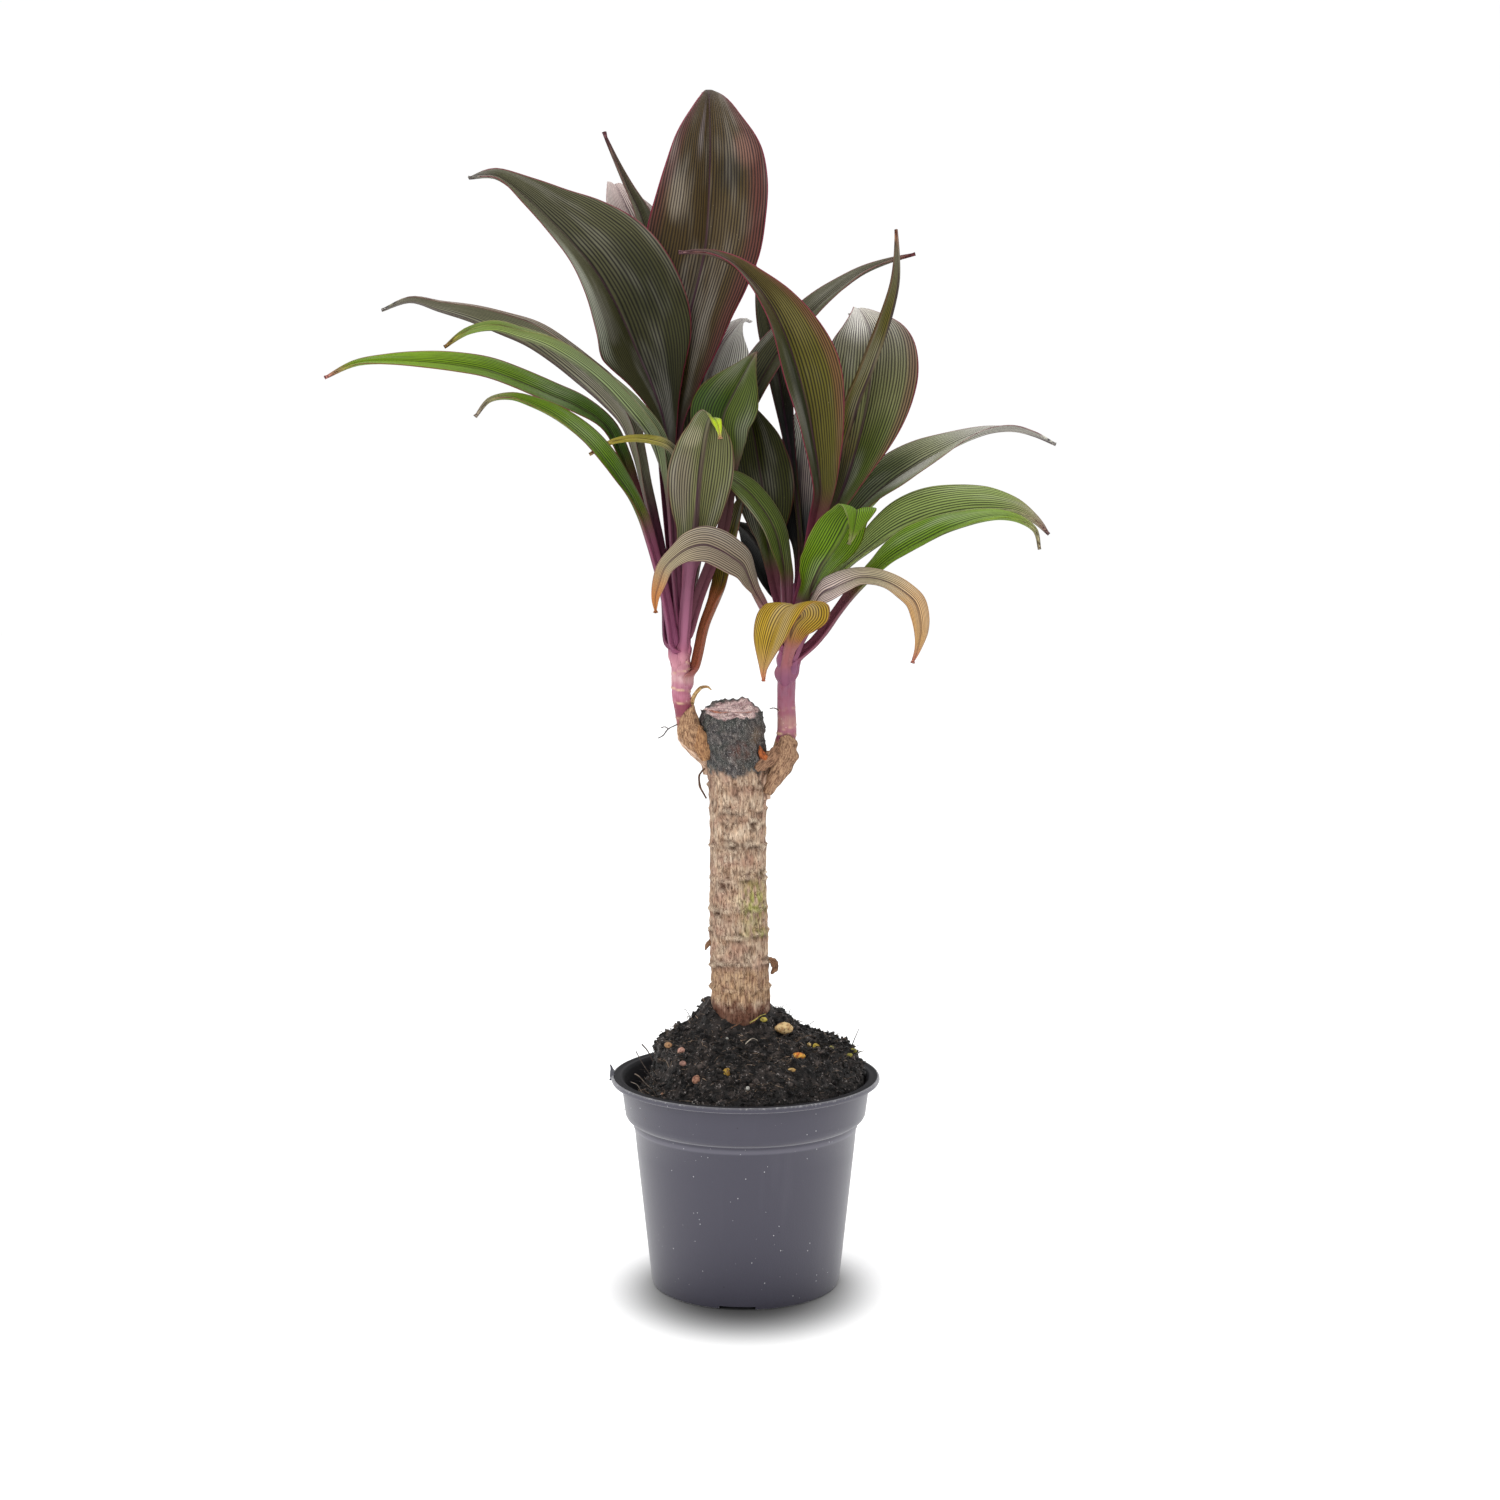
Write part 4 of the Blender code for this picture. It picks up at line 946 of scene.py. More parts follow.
# Dry scraps on the cane and the shoots: the middle line and the half widths along it in
# millimetres, how far the scrap is cupped, two colours in screen values and its node, if any.
SCRAPS = {
    "dry_curl": (
        ((-23.2, -1.8, 256.5), (-23.4, -2.0, 260.5), (-22.3, -2.4, 264.2), (-19.8, -2.6, 267.2),
         (-16.8, -2.6, 267.8), (-15.0, -2.4, 266.4)),
        (0.5, 0.8, 0.8, 0.7, 0.4, 0.15), 0.4, (206, 176, 124), (150, 108, 66), "dried_strip"),
    "orange_scale": (
        ((9.4, -7.4, 233.6), (8.6, -9.6, 236.4), (7.0, -9.8, 239.4), (6.2, -8.8, 242.4)),
        (1.2, 1.7, 1.3, 0.15), 0.8, (190, 108, 60), (120, 60, 36), "bud_scale"),
    "left_heel_sheath": (
        ((-20.5, -6.4, 240.0), (-22.6, -7.4, 244.0), (-24.0, -6.8, 248.5), (-24.6, -5.8, 253.0),
         (-22.8, -5.0, 260.0)),
        (2.0, 3.8, 5.2, 4.4, 0.3), 2.4, (196, 158, 122), (120, 84, 64), None),
    "left_heel_tongue": (
        ((-17.2, -9.0, 236.0), (-18.4, -9.4, 241.0), (-19.4, -8.2, 246.5), (-20.2, -6.6, 251.0)),
        (1.8, 3.4, 2.8, 0.3), 1.0, (190, 146, 104), (122, 84, 60), None),
    "right_heel_sheath": (
        ((9.6, -6.4, 221.0), (13.0, -7.4, 228.0), (17.0, -7.2, 235.5), (18.4, -6.0, 241.5),
         (17.2, -5.0, 246.5)),
        (1.8, 3.6, 5.0, 4.8, 2.2), 2.4, (188, 152, 120), (112, 80, 64), None),
    "right_heel_web": (
        ((4.6, -10.2, 232.0), (8.6, -9.8, 235.0), (12.4, -8.0, 238.5), (14.6, -5.6, 243.0)),
        (1.2, 2.8, 3.0, 0.8), 0.8, (170, 132, 104), (96, 68, 54), None),
    "right_bark_chip": (
        ((10.4, -4.2, 147.2), (12.6, -4.8, 145.4), (13.2, -5.0, 143.0), (11.4, -5.0, 140.4)),
        (0.8, 1.7, 1.5, 0.4), 0.5, (150, 112, 84), (84, 58, 44), None),
    "left_bark_flake": (
        ((-15.2, -2.6, 154.5), (-16.8, -3.0, 153.2), (-17.8, -3.0, 150.8)),
        (1.3, 1.0, 0.2), 0.3, (160, 124, 96), (96, 70, 54), None),
    "left_rootlet": (
        ((-17.8, -4.0, 232.0), (-20.2, -4.0, 229.0), (-20.0, -4.0, 224.0), (-17.2, -4.0, 218.6)),
        (0.35, 0.4, 0.45, 0.3), 0.0, (112, 84, 66), (64, 46, 38), None),
    "long_whisker": (
        ((-29.8, -4.4, 251.4), (-33.6, -5.0, 249.6), (-36.0, -5.4, 246.8), (-38.4, -6.0, 245.4)),
        (0.2, 0.18, 0.15, 0.1), 0.0, (70, 56, 52), (40, 30, 30), None),
    "side_whisker": (
        ((-33.8, -5.0, 249.4), (-35.2, -5.2, 250.4), (-37.0, -5.4, 250.0)),
        (0.16, 0.14, 0.1), 0.0, (70, 56, 52), (40, 30, 30), None),
    "right_whisker": (
        ((14.6, -3.8, 257.6), (12.6, -4.4, 258.6), (10.6, -4.6, 258.2)),
        (0.2, 0.18, 0.12), 0.0, (90, 70, 62), (50, 38, 34), None),
}
SCRAP_COLUMNS = 10
SCRAP_ROWS = 44
SCRAP_THICKNESS = 0.3 * MM

SHOOT_ROUND = 44
SHOOT_RINGS = 230
SHOOT_SUNK = 3.0 * MM
ROOT_HEIGHT = 14.0 * MM
ROOT_SWELL = 3.4 * MM

# How each shoot is coloured: heights in millimetres and screen values, from its heel up, and
# the heights, slants and colours of its ring scars.
SHOOT_LOOKS = {
    "left_shoot": dict(
        bands=((228, (120, 88, 60)), (238, (176, 134, 90)), (247, (188, 142, 96)),
               (253, (150, 84, 76)), (255.5, (128, 58, 74)), (260.5, (140, 66, 84)),
               (262.5, (178, 110, 130)), (267, (180, 116, 136)), (271, (208, 166, 168)),
               (275, (192, 136, 148)), (281, (196, 138, 150)), (285, (170, 104, 126)),
               (292, (150, 88, 110)), (302, (136, 80, 100)), (315, (128, 76, 96))),
        scars=((261.0, 0.05, 1.0), (266.5, -0.18, 1.0), (274.5, 0.25, 0.8), (279.5, -0.3, 1.0),
               (284.0, 0.4, 0.5), (255.0, 0.3, 0.5)),
        heel=250.0),
    "right_shoot": dict(
        bands=((218, (96, 70, 54)), (228, (140, 104, 76)), (236, (176, 134, 94)),
               (243, (184, 146, 104)), (245.5, (126, 62, 82)), (248.0, (160, 98, 116)),
               (252, (168, 124, 118)), (258, (148, 90, 108)), (266, (138, 84, 106)),
               (276, (134, 90, 116)), (288, (132, 86, 110)), (300, (130, 78, 102)),
               (315, (130, 76, 104))),
        scars=((246.8, -0.05, 1.0), (249.5, 0.3, 0.5), (258.0, 0.1, 0.35), (240.0, 0.25, 0.6)),
        heel=243.0),
}


def band_colour(bands, height):
    """The colour between two bands of a shoot at a height."""
    i = 0
    while i < len(bands) - 2 and bands[i + 1][0] < height:
        i += 1
    (low, one), (high, two) = bands[i], bands[i + 1]
    return blend(Vector(srgb(*one)), two, ease((height - low) / (high - low)))


def model_shoot(name, look):
    """A shoot: a ringed tube with slanted leaf scars, mottled skin and a fibrous heel."""
    sections = node_sections(name)
    inward = -1.0 if sections[0][1] > 0 else 1.0
    low, high = sections[0][0] - SHOOT_SUNK, sections[-1][0]
    piece = add_tube(name.replace("shoot", "stem"), SHOOT_ROUND, SHOOT_RINGS)
    tones, heels = add_attributes(piece.data, ("tone",), ("heel",))
    for k, vertex in enumerate(piece.data.vertices):
        height = low + (high - low) * vertex.co.z
        x, y, radius = section_at(sections, max(height, sections[0][0]))
        out = Vector((vertex.co.x, vertex.co.y, 0.0))
        root = ease(1.0 - (height - sections[0][0]) / ROOT_HEIGHT)
        x += inward * MM * root * (5.0 + 4.0 * (1.0 - root))
        radius += ROOT_SWELL * root
        place = Vector((x, y, height)) + out * radius
        above_heel = height / MM - look["heel"]
        heel = ease(1.1 * rough(place, 3.0 * MM) - above_heel / 6.0 - inward * out.x * 0.5)
        tone = band_colour(look["bands"], height / MM + 1.5 * rough(place, 2.5 * MM))
        tan = mottle(Vector(srgb(222, 190, 164)), place, (126, 96, 78), 0.5, 1.6, 1.2, 3.0, 1.0)
        tone = tone.lerp(tan, heel * 0.85)
        tone = mottle(tone, place, (146, 60, 84), 0.35, 1.4, 1.7, 1.4, 0.32 * (1.0 - heel))
        relief = 0.55 * heel * rough(place, 1.3 * MM, 2.2) + 0.12 * rough(place, 1.2 * MM, 3.0)
        for middle, slant, strength in look["scars"]:
            above = height / MM - middle - slant * out.x * radius / MM
            above += 0.5 * rough(place, 2.2 * MM)
            line = bump_at(above, 0.32) * strength
            relief += 0.34 * line - 0.22 * strength * bump_at(above + 0.8, 0.5)
            tone = blend(tone, (222, 190, 150), line * 0.85)
        vertex.co = Vector((x, y, height)) + out * (radius + relief * MM)
        tones[k].color = (*tone, 1.0)
        heels[k].value = heel
    shade(piece)
    return piece


def make_shoot_skin():
    """Satin pink skin with fine lengthwise lines, and dry fibrous tissue at the heel."""
    look = Look("shoot_skin", Specular_IOR_Level=0.4)
    place = look.place()
    heel = look.attribute("heel")
    lines = look.noise(look.stretch(place, (1500.0, 1500.0, 170.0)), 1.0, 3.0, 0.6)
    look.colour = look.attribute("tone", "Color")
    look.dye(look.step(lines, 0.4, 0.7) * 0.4, (0.66, 0.56, 0.6))
    fleck = look.step(look.cells(place, 480.0), 0.16, 0.08)
    look.lay(fleck * 0.4, (110, 44, 62))
    pale = look.step(look.cells(look.shift(place, (0.02, 0.0, 0.0)), 380.0), 0.12, 0.06)
    look.lay(pale * 0.5, (226, 200, 190))
    bump = look.bump(lines + heel * look.noise(place, 900.0, 3.0), 0.2 * MM)
    return look.finish(Roughness=0.48 + heel * 0.35, Normal=bump)


def model_scrap(name, line, halves, cup):
    """A scrap of dry tissue: a grid bent along its middle line, cupped, ragged and thickened."""
    piece = add_grid(name, SCRAP_COLUMNS, SCRAP_ROWS)
    spots = [Vector(spot) * MM for spot in line]
    sides, runs = add_attributes(piece.data, (), ("side", "run"))
    length = sum((b - a).length for a, b in zip(spots, spots[1:]))
    for k, vertex in enumerate(piece.data.vertices):
        share = vertex.co.y + 0.5
        t = vertex.co.x * 2.0
        middle = read_smoothly(spots, share)
        along = way_along(spots, share, 0.02)
        across = along.cross(Vector((0.0, -1.0, 0.0))).normalized()
        up = across.cross(along)
        half = max(0.05, read_smoothly(halves, share)) * MM
        ragged = 1.0 + 0.3 * noise.noise(Vector((share * 9.0, t * 2.0, length * 900)))
        crease = 0.25 * noise.noise(Vector((share * 5.0, t * 4.0, length * 500)))
        lift = (cup * (1.0 - t * t) - cup * 0.5 + crease * min(1.0, cup + 0.2)) * MM
        vertex.co = middle + across * half * t * ragged + up * lift
        sides[k].value = t * half / MM
        runs[k].value = share * length / MM
    add_modifier(piece, "SOLIDIFY", thickness=SCRAP_THICKNESS, offset=0.0)
    shade(piece)
    return piece


def make_dry(name, pale, dark):
    """Dry fibrous tissue, streaked along its length."""
    look = Look(name, Specular_IOR_Level=0.2)
    place = look.place()
    side, run = look.attribute("side"), look.attribute("run")
    streak = look.noise(look.point(side * 2.6, run * 0.35, 3.0), 1.0, 4.0, 0.65)
    blotch = look.noise(place, 420.0, 3.0, 0.6)
    ring = look.noise(look.point(side * 0.5, run * 1.7, 8.0), 1.0, 4.0, 0.65)
    look.colour = srgb(*pale)
    look.lay(look.step(streak, 0.36, 0.66), dark)
    look.dye(look.step(ring, 0.5, 0.68) * 0.55, (0.5, 0.42, 0.38))
    look.dye(look.step(ring, 0.46, 0.3) * 0.5, (1.3, 1.28, 1.24))
    look.lay(look.step(blotch, 0.52, 0.7) * 0.7, (70, 48, 38))
    bump = look.bump(streak + ring + blotch * 0.5, 0.4 * MM)
    return look.finish(Roughness=0.8 + blotch * 0.1, Normal=bump)


class TI_PLANT_OT_cane(bpy.types.Operator):
    """Model the old cane with its coated cut end."""

    bl_idname = "ti_plant.cane"
    bl_label = "Cane"

    def execute(self, context):
        cane = context.scene.ti_plant.cane
        settle(model_cane(cane), "cane", ("cane",), make_bark())
        return {"FINISHED"}


class TI_PLANT_OT_shoots(bpy.types.Operator):
    """Model the two side shoots."""

    bl_idname = "ti_plant.shoots"
    bl_label = "Shoots"

    def execute(self, context):
        skin = make_shoot_skin()
        for name, look in SHOOT_LOOKS.items():
            settle(model_shoot(name, look), "shoot", (name,), skin)
        return {"FINISHED"}


class TI_PLANT_OT_scraps(bpy.types.Operator):
    """Model the dry scraps of sheath and bark on the cane and the shoots."""

    bl_idname = "ti_plant.scraps"
    bl_label = "Dry scraps"

    def execute(self, context):
        for name, (line, halves, cup, pale, dark, node) in SCRAPS.items():
            skin = make_dry(name, pale, dark)
            nodes = (node,) if node else ()
            settle(model_scrap(name, line, halves, cup), SLOTS.get(node, "dry_sheath"), nodes, skin)
        return {"FINISHED"}


SOIL_ROUND = 260
SOIL_RINGS = 96
SOIL_SEED = 7
SOIL_BULGE = 5.5 * MM
RIGHT_BULGE = 5.5 * MM
FRONT_DIP = 7.5 * MM
SOIL_GAP = 15.0 * MM
GAP_TURN = math.radians(172)
LOWEST_PEAT = 78.0 * MM
CRUMB_FLOOR = 88.0 * MM
CRUMB_REACH = 49.0 * MM
CRUMB_SIZES = (0.4, 0.5, 0.6, 0.7, 0.85, 1.0, 1.3, 1.7, 2.1)
MOUND_REACH = 52.2 * MM
MOUND_MOUTH = 13.9 * MM
MOUND_MIDDLE = -2.0 * MM
PEAT_INNER = 12.2 * MM
PEAT_WALL = 52.9 * MM
PEAT_START = 0.04
PEAT_SPAN = 0.9
PEAT_EDGE = 0.94
SOCKET_DROP = 14.0 * MM
EDGE_DROP = 9.0 * MM
BARK_RING = 5.0 * MM
BARK_RING_REACH = 17.0 * MM
FRONT_WIDTH = 1.15
PEAT_LIFT = 0.4 * MM
GRAIN_LIFT = 0.8 * MM
BIT_LIFT = 0.9 * MM
LUMP_UNEVENNESS = 0.13
FIBRE_SIDES = 4
FIBRE_CUTS = 3
STRAW_SIDES = 7
STRAW_RINGS = 14

# Bits that lie on the peat besides the model's grains: place from the pot's middle in
# millimetres, half sizes and colour in screen values.
BITS = (
    (8, -13, (1.7, 1.3, 1.2), (176, 160, 70)),
    (38, -10, (1.5, 1.2, 1.0), (176, 168, 90)),
    (28, -13, (1.3, 1.0, 0.9), (200, 170, 110)),
    (48, -6, (1.7, 1.3, 1.1), (150, 140, 50)),
    (46, -12, (1.5, 1.1, 1.0), (140, 132, 48)),
    (-30, -8, (1.5, 1.1, 1.4), (190, 176, 96)),
    (-34, -14, (2.2, 1.5, 1.5), (176, 132, 92)),
    (-27, -30, (1.7, 1.4, 1.2), (170, 126, 112)),
    (1, -47, (1.1, 0.7, 1.0), (206, 204, 196)),
    (-22, -47, (0.9, 0.8, 0.8), (206, 200, 190)),
    (-33, -40, (0.9, 0.8, 0.8), (190, 186, 172)),
    (-36, -30, (0.8, 0.7, 0.7), (200, 150, 120)),
    (20, -30, (0.7, 0.6, 0.6), (190, 188, 180)),
    (-8, -22, (0.8, 0.6, 0.6), (182, 178, 170)),
    (12, 26, (2.0, 1.5, 1.3), (176, 150, 80)),
    (-22, 24, (1.8, 1.4, 1.2), (190, 150, 60)),
    (30, 18, (1.5, 1.2, 1.1), (150, 140, 60)),
    (-6, 40, (1.8, 1.3, 1.1), (186, 160, 96)),
)

# Roots and straws that stick out of the peat: both ends in millimetres, how far the middle
# bows up, the thickness and the colour in screen values.
STRAWS = (
    ((-48.6, -20, 99), (-38.5, -28, 91), 1.0, 0.3, (110, 96, 84)),
    ((-48.4, -12, 107), (-39.0, -20, 95), -1.0, 0.24, (84, 70, 62)),
    ((-50.5, -14, 94), (-43.0, -24, 88), 1.5, 0.22, (140, 128, 116)),
    ((-46.0, -2, 108), (-39.0, -7, 97), 0.8, 0.35, (72, 54, 46)),
    ((47.0, 0, 106), (50.5, 0, 114.5), -0.5, 0.28, (56, 46, 40)),
    ((48.0, -6, 103), (53.0, -6, 106), 1.0, 0.25, (84, 80, 50)),
    ((-13.0, -19, 112), (-1.6, -17, 121.5), 1.0, 0.45, (128, 92, 66)),
    ((2.0, -18, 121.0), (9.0, -17, 125.0), 0.6, 0.35, (196, 178, 90)),
    ((0.0, -27, 114.0), (5.2, -26, 115.5), 1.4, 0.28, (200, 188, 170)),
    ((-24.0, -30, 106), (-14.0, -34, 103), 1.8, 0.25, (120, 96, 76)),
    ((14.0, -34, 104), (24.0, -33, 105), 1.8, 0.25, (130, 108, 84)),
    ((22.0, -20, 113), (31.0, -18, 115), 1.6, 0.22, (96, 76, 60)),
    ((-34.0, 18, 106), (-24.0, 26, 108), 1.8, 0.3, (120, 96, 76)),
    ((10.0, 34, 106), (21.0, 30, 108), 2.0, 0.3, (130, 104, 80)),
)

# The model's grains: half sizes, turn about the upright, and two colours in screen values.
GRAIN_LOOKS = {
    "grain_tan": ((4.0, 2.6, 2.5), 0.2, (206, 178, 128), (150, 108, 66)),
    "grain_orange": ((3.1, 2.1, 1.9), 0.0, (228, 176, 76), (196, 104, 34)),
    "grain_yellow": ((1.7, 1.4, 1.9), 0.4, (186, 164, 62), (140, 112, 40)),
    "grain_white": ((2.1, 1.5, 1.4), 0.3, (224, 220, 200), (170, 160, 130)),
    "grain_pale": ((2.3, 1.5, 1.2), 0.1, (214, 184, 122), (160, 124, 70)),
    "grain_front": ((1.9, 1.5, 2.0), 0.6, (182, 150, 56), (130, 96, 34)),
    "bark_fleck": ((1.9, 1.6, 2.1), 0.4, (182, 136, 110), (120, 76, 60)),
    "bark_chip": ((1.9, 1.4, 1.6), 0.8, (190, 146, 130), (126, 86, 72)),
}


def soil_height(tree, x, y):
    """The height of the model's mound at a place, or at the nearest one to it on the mound."""
    flat = Vector((x, y, 0.0))
    if flat.length > MOUND_REACH:
        flat *= MOUND_REACH / flat.length
    from_cane = flat - Vector((MOUND_MIDDLE, 0.0, 0.0))
    if from_cane.length < MOUND_MOUTH:
        flat += from_cane * (MOUND_MOUTH / from_cane.length - 1.0)
    spot = tree.ray_cast(flat + UP, -UP)[0]
    return spot.z


def clump(x, y):
    """How far the peat's clumps stand up at a place, in metres."""
    spot = Vector((x, y, 0.0))
    lumps = 2.4 * rough(spot, 9.0 * MM) + 1.9 * rough(spot, 4.2 * MM) + 0.9 * rough(spot, 1.9 * MM)
    return lumps * MM


def soil_place(tree, turn, share):
    """The place on the peat at a turn about the cane and a share of the way to the wall."""
    turn = math.remainder(turn, math.tau)
    middle = MOUND_MIDDLE * (1.0 - share)
    reach = PEAT_INNER + (PEAT_WALL - PEAT_INNER) * clamp((share - PEAT_START) / PEAT_SPAN)
    x, y = middle + math.cos(turn) * reach, math.sin(turn) * reach
    height = soil_height(tree, x, y)
    steady = min(1.0, share * 8.0) * ease((1.0 - share) * 9.0)
    height += clump(x, y) * steady
    spot = Vector((x, y, 0.0))
    from_bark = (math.hypot(x - MOUND_MIDDLE, y) - BARK_RING_REACH) / MM
    in_front = bump_at(turn + math.pi / 2, FRONT_WIDTH)
    ring = BARK_RING * bump_at(from_bark, 4.5) * (1.0 - in_front)
    height += ring * max(0.0, 0.4 + 1.2 * rough(spot, 8.0 * MM))
    if share < PEAT_START:
        height -= SOCKET_DROP * (1.0 - share / PEAT_START)
    height += SOIL_BULGE * bump_at(share - 0.7, 0.2) * (0.4 + abs(math.cos(turn)) * 0.6)
    height += RIGHT_BULGE * bump_at(turn, 0.8) * bump_at(share - 0.84, 0.13)
    height -= FRONT_DIP * in_front * bump_at(share, 0.3)
    height -= SOIL_GAP * bump_at(abs(turn) - GAP_TURN, 0.7) * ease((share - 0.62) / 0.09)
    if share > PEAT_EDGE:
        height -= EDGE_DROP * (share - PEAT_EDGE) / (1.0 - PEAT_EDGE)
    if share > 0.5:
        height = max(height, LOWEST_PEAT)
    return Vector((x, y, height))


def peat_over(tree, x, y):
    """The height of the modelled peat over a place."""
    share = PEAT_START + PEAT_SPAN * (math.hypot(x, y) - PEAT_INNER) / (PEAT_WALL - PEAT_INNER)
    return soil_place(tree, math.atan2(y, x), min(0.93, max(0.06, share))).z


def model_mound(tree):
    """The peat's surface: a ringed tube laid flat over the model's mound, with clumps."""
    piece = add_tube("peat_mound", SOIL_ROUND, SOIL_RINGS, capped=False)
    for vertex in piece.data.vertices:
        turn = math.atan2(vertex.co.y, vertex.co.x)
        vertex.co = soil_place(tree, turn, 1.0 - vertex.co.z)
    (shades,) = add_attributes(piece.data, (), ("shade",))
    for k, vertex in enumerate(piece.data.vertices):
        shades[k].value = 0.35 + 0.3 * rough(vertex.co, 4.0 * MM)
    shade(piece)
    return piece


def template(kind):
    """The corners and faces of a small primitive that is copied many times."""
    clear_selection()
    if kind == "lump":
        bpy.ops.mesh.primitive_ico_sphere_add(subdivisions=1, radius=1.0)
    else:
        bpy.ops.mesh.primitive_cylinder_add(
            vertices=FIBRE_SIDES, radius=1.0, depth=1.0, location=(0.0, 0.0, 0.0))
        cut_rings(bpy.context.object, FIBRE_CUTS)
    item = bpy.context.object
    corners = [vertex.co.copy() for vertex in item.data.vertices]
    faces = [tuple(face.vertices) for face in item.data.polygons]
    bpy.data.objects.remove(item, do_unlink=True)
    return corners, faces


def gather(name, copies):
    """One piece of many small copies, each a list of corners, its faces and its shade."""
    corners, faces, shades = [], [], []
    for spots, sides, value in copies:
        start = len(corners)
        corners += spots
        faces += [tuple(start + i for i in side) for side in sides]
        shades += [value] * len(spots)
    mesh = bpy.data.meshes.new(name)
    mesh.from_pydata([tuple(spot) for spot in corners], [], faces)
    mesh.update()
    (values,) = add_attributes(mesh, (), ("shade",))
    for k, value in enumerate(shades):
        values[k].value = value
    piece = bpy.data.objects.new(name, mesh)
    bpy.context.scene.collection.objects.link(piece)
    return piece


def random_turn(rng):
    """A turn about any way by any angle."""
    way = Vector((rng.gauss(0, 1), rng.gauss(0, 1), rng.gauss(0, 1))).normalized()
    return Matrix.Rotation(rng.uniform(0.0, math.tau), 3, way)


def scatter_crumbs(tree, soil, rng):
    """Crumbs of peat of many sizes, squashed, turned and half sunk."""
    corners, faces = template("lump")
    copies = []
    while len(copies) < soil.crumbs:
        share = 0.05 + 0.9 * math.sqrt(rng.random())
        place = soil_place(tree, rng.uniform(0.0, math.tau), share)
        if place.z < CRUMB_FLOOR and math.hypot(place.x, place.y) > CRUMB_REACH:
            continue
        size = soil.crumb_size * rng.choice(CRUMB_SIZES) * rng.uniform(0.8, 1.2)
        turn = random_turn(rng)
        squash = Vector((rng.uniform(0.8, 1.6), rng.uniform(0.5, 1.1), rng.uniform(0.3, 0.8)))
        spots = []
        for corner in corners:
            grown = corner * size * rng.uniform(0.7, 1.25)
            spots.append(place + turn @ Vector(a * b for a, b in zip(grown, squash)))
        copies.append((spots, faces, rng.random() ** 6 * 1.66))
    return gather("peat_crumbs", copies)


def bend_fibre(corners, foot, way, length, radius, bow):
    """A fibre's corners: a stick from its foot along a way, bowed sideways, thin at its end."""
    along = way.normalized()
    side = along.orthogonal().normalized()
    other = along.cross(side)
    spots = []
    for corner in corners:
        share = corner.z + 0.5
        thin = radius * (1.0 - 0.55 * share)
        middle = foot + along * length * share + bow * math.sin(math.pi * share)
        spots.append(middle + side * corner.x * thin + other * corner.y * thin)
    return spots


def scatter_fibres(tree, soil, rng):
    """Fine fibres and roots that lie on the peat, some with an end that stands up."""
    corners, faces = template("stick")
    copies = []
    while len(copies) < soil.fibres:
        share = 0.06 + 0.86 * math.sqrt(rng.random())
        turn = rng.uniform(0.0, math.tau)
        foot = soil_place(tree, turn, share) + Vector((0.0, 0.0, PEAT_LIFT))
        length = rng.choice((1.6, 2.2, 2.8, 3.6, 6.5)) * rng.uniform(0.8, 1.2) * MM
        rise = rng.uniform(-0.3, 0.6)
        way = Vector((rng.gauss(0, 1), rng.gauss(0, 1), 0.0)).normalized() + Vector((0, 0, rise))
        bow = Vector((rng.gauss(0, 1), rng.gauss(0, 1), abs(rng.gauss(0, 1)))) * 0.16 * length
        spots = bend_fibre(corners, foot, way, length, rng.uniform(0.07, 0.2) * MM, bow)
        copies.append((spots, faces, rng.choice((0.0, 0.1, 0.2, 0.4, 0.6, 1.0, 1.6))))
    return gather("peat_fibres", copies)


def model_straw(name, start, end, bow, radius):
    """A root or straw: a ringed tube bent from one end to the other."""
    piece = add_tube(name, STRAW_SIDES, STRAW_RINGS)
    foot, way = Vector(start) * MM, (Vector(end) - Vector(start)) * MM
    side = way.orthogonal().normalized()
    other = way.cross(side).normalized()
    for vertex in piece.data.vertices:
        share = vertex.co.z
        middle = foot + way * share + UP * bow * MM * math.sin(math.pi * share)
        middle += side * 0.5 * MM * noise.noise(Vector((share * 3.0, radius * 90, bow)))
        thin = radius * MM * (1.0 - 0.5 * share)
        vertex.co = middle + side * vertex.co.x * thin + other * vertex.co.y * thin
    shade(piece)
    return piece


def make_peat(soil, name, pale):
    """Moist dark peat, its crumbs from near black to brown, with pale grit and painted glints."""
    look = Look(name, Specular_IOR_Level=0.35)
    place = look.place()
    grit_and_glints = look.noise(place, 620.0, 4.0, 0.75)
    mould = look.noise(place, 200.0, 3.0, 0.6)
    look.colour = soil.colour
    look.lay(look.attribute("shade") * 0.6, pale)
    look.lay(look.step(grit_and_glints, 0.53, 0.58) * 0.5, (74, 66, 62))
    # Painted glints: the palest specks stand partly for pale grit and partly for light glinting on
    # the moist peat.
    look.lay(look.step(grit_and_glints, 0.6, 0.64) * 0.85, (176, 168, 164))
    look.lay(look.step(mould, 0.56, 0.44) * 0.8, (5, 4, 4))
    bump = look.bump(grit_and_glints * 1.6 + look.cells(place, 700.0) * 0.8, 1.1 * MM)
    return look.finish(Roughness=0.5 + grit_and_glints * 0.3, Normal=bump)


def model_lump(name, middle, halves, turn, fine=3):
    """A round uneven bit with half sizes in millimetres."""
    clear_selection()
    bpy.ops.mesh.primitive_ico_sphere_add(subdivisions=fine, radius=1.0)
    piece = named(name)
    turned = Matrix.Rotation(turn, 3, "Z")
    for vertex in piece.data.vertices:
        spot = vertex.co.copy()
        uneven = noise.noise(spot * 1.3 + middle * 900) + 0.6 * noise.noise(spot * 3.1)
        far = 1.0 + LUMP_UNEVENNESS * uneven
        grown = Vector(a * b * MM * far for a, b in zip(spot, halves))
        vertex.co = middle + turned @ grown
    shade(piece)
    return piece


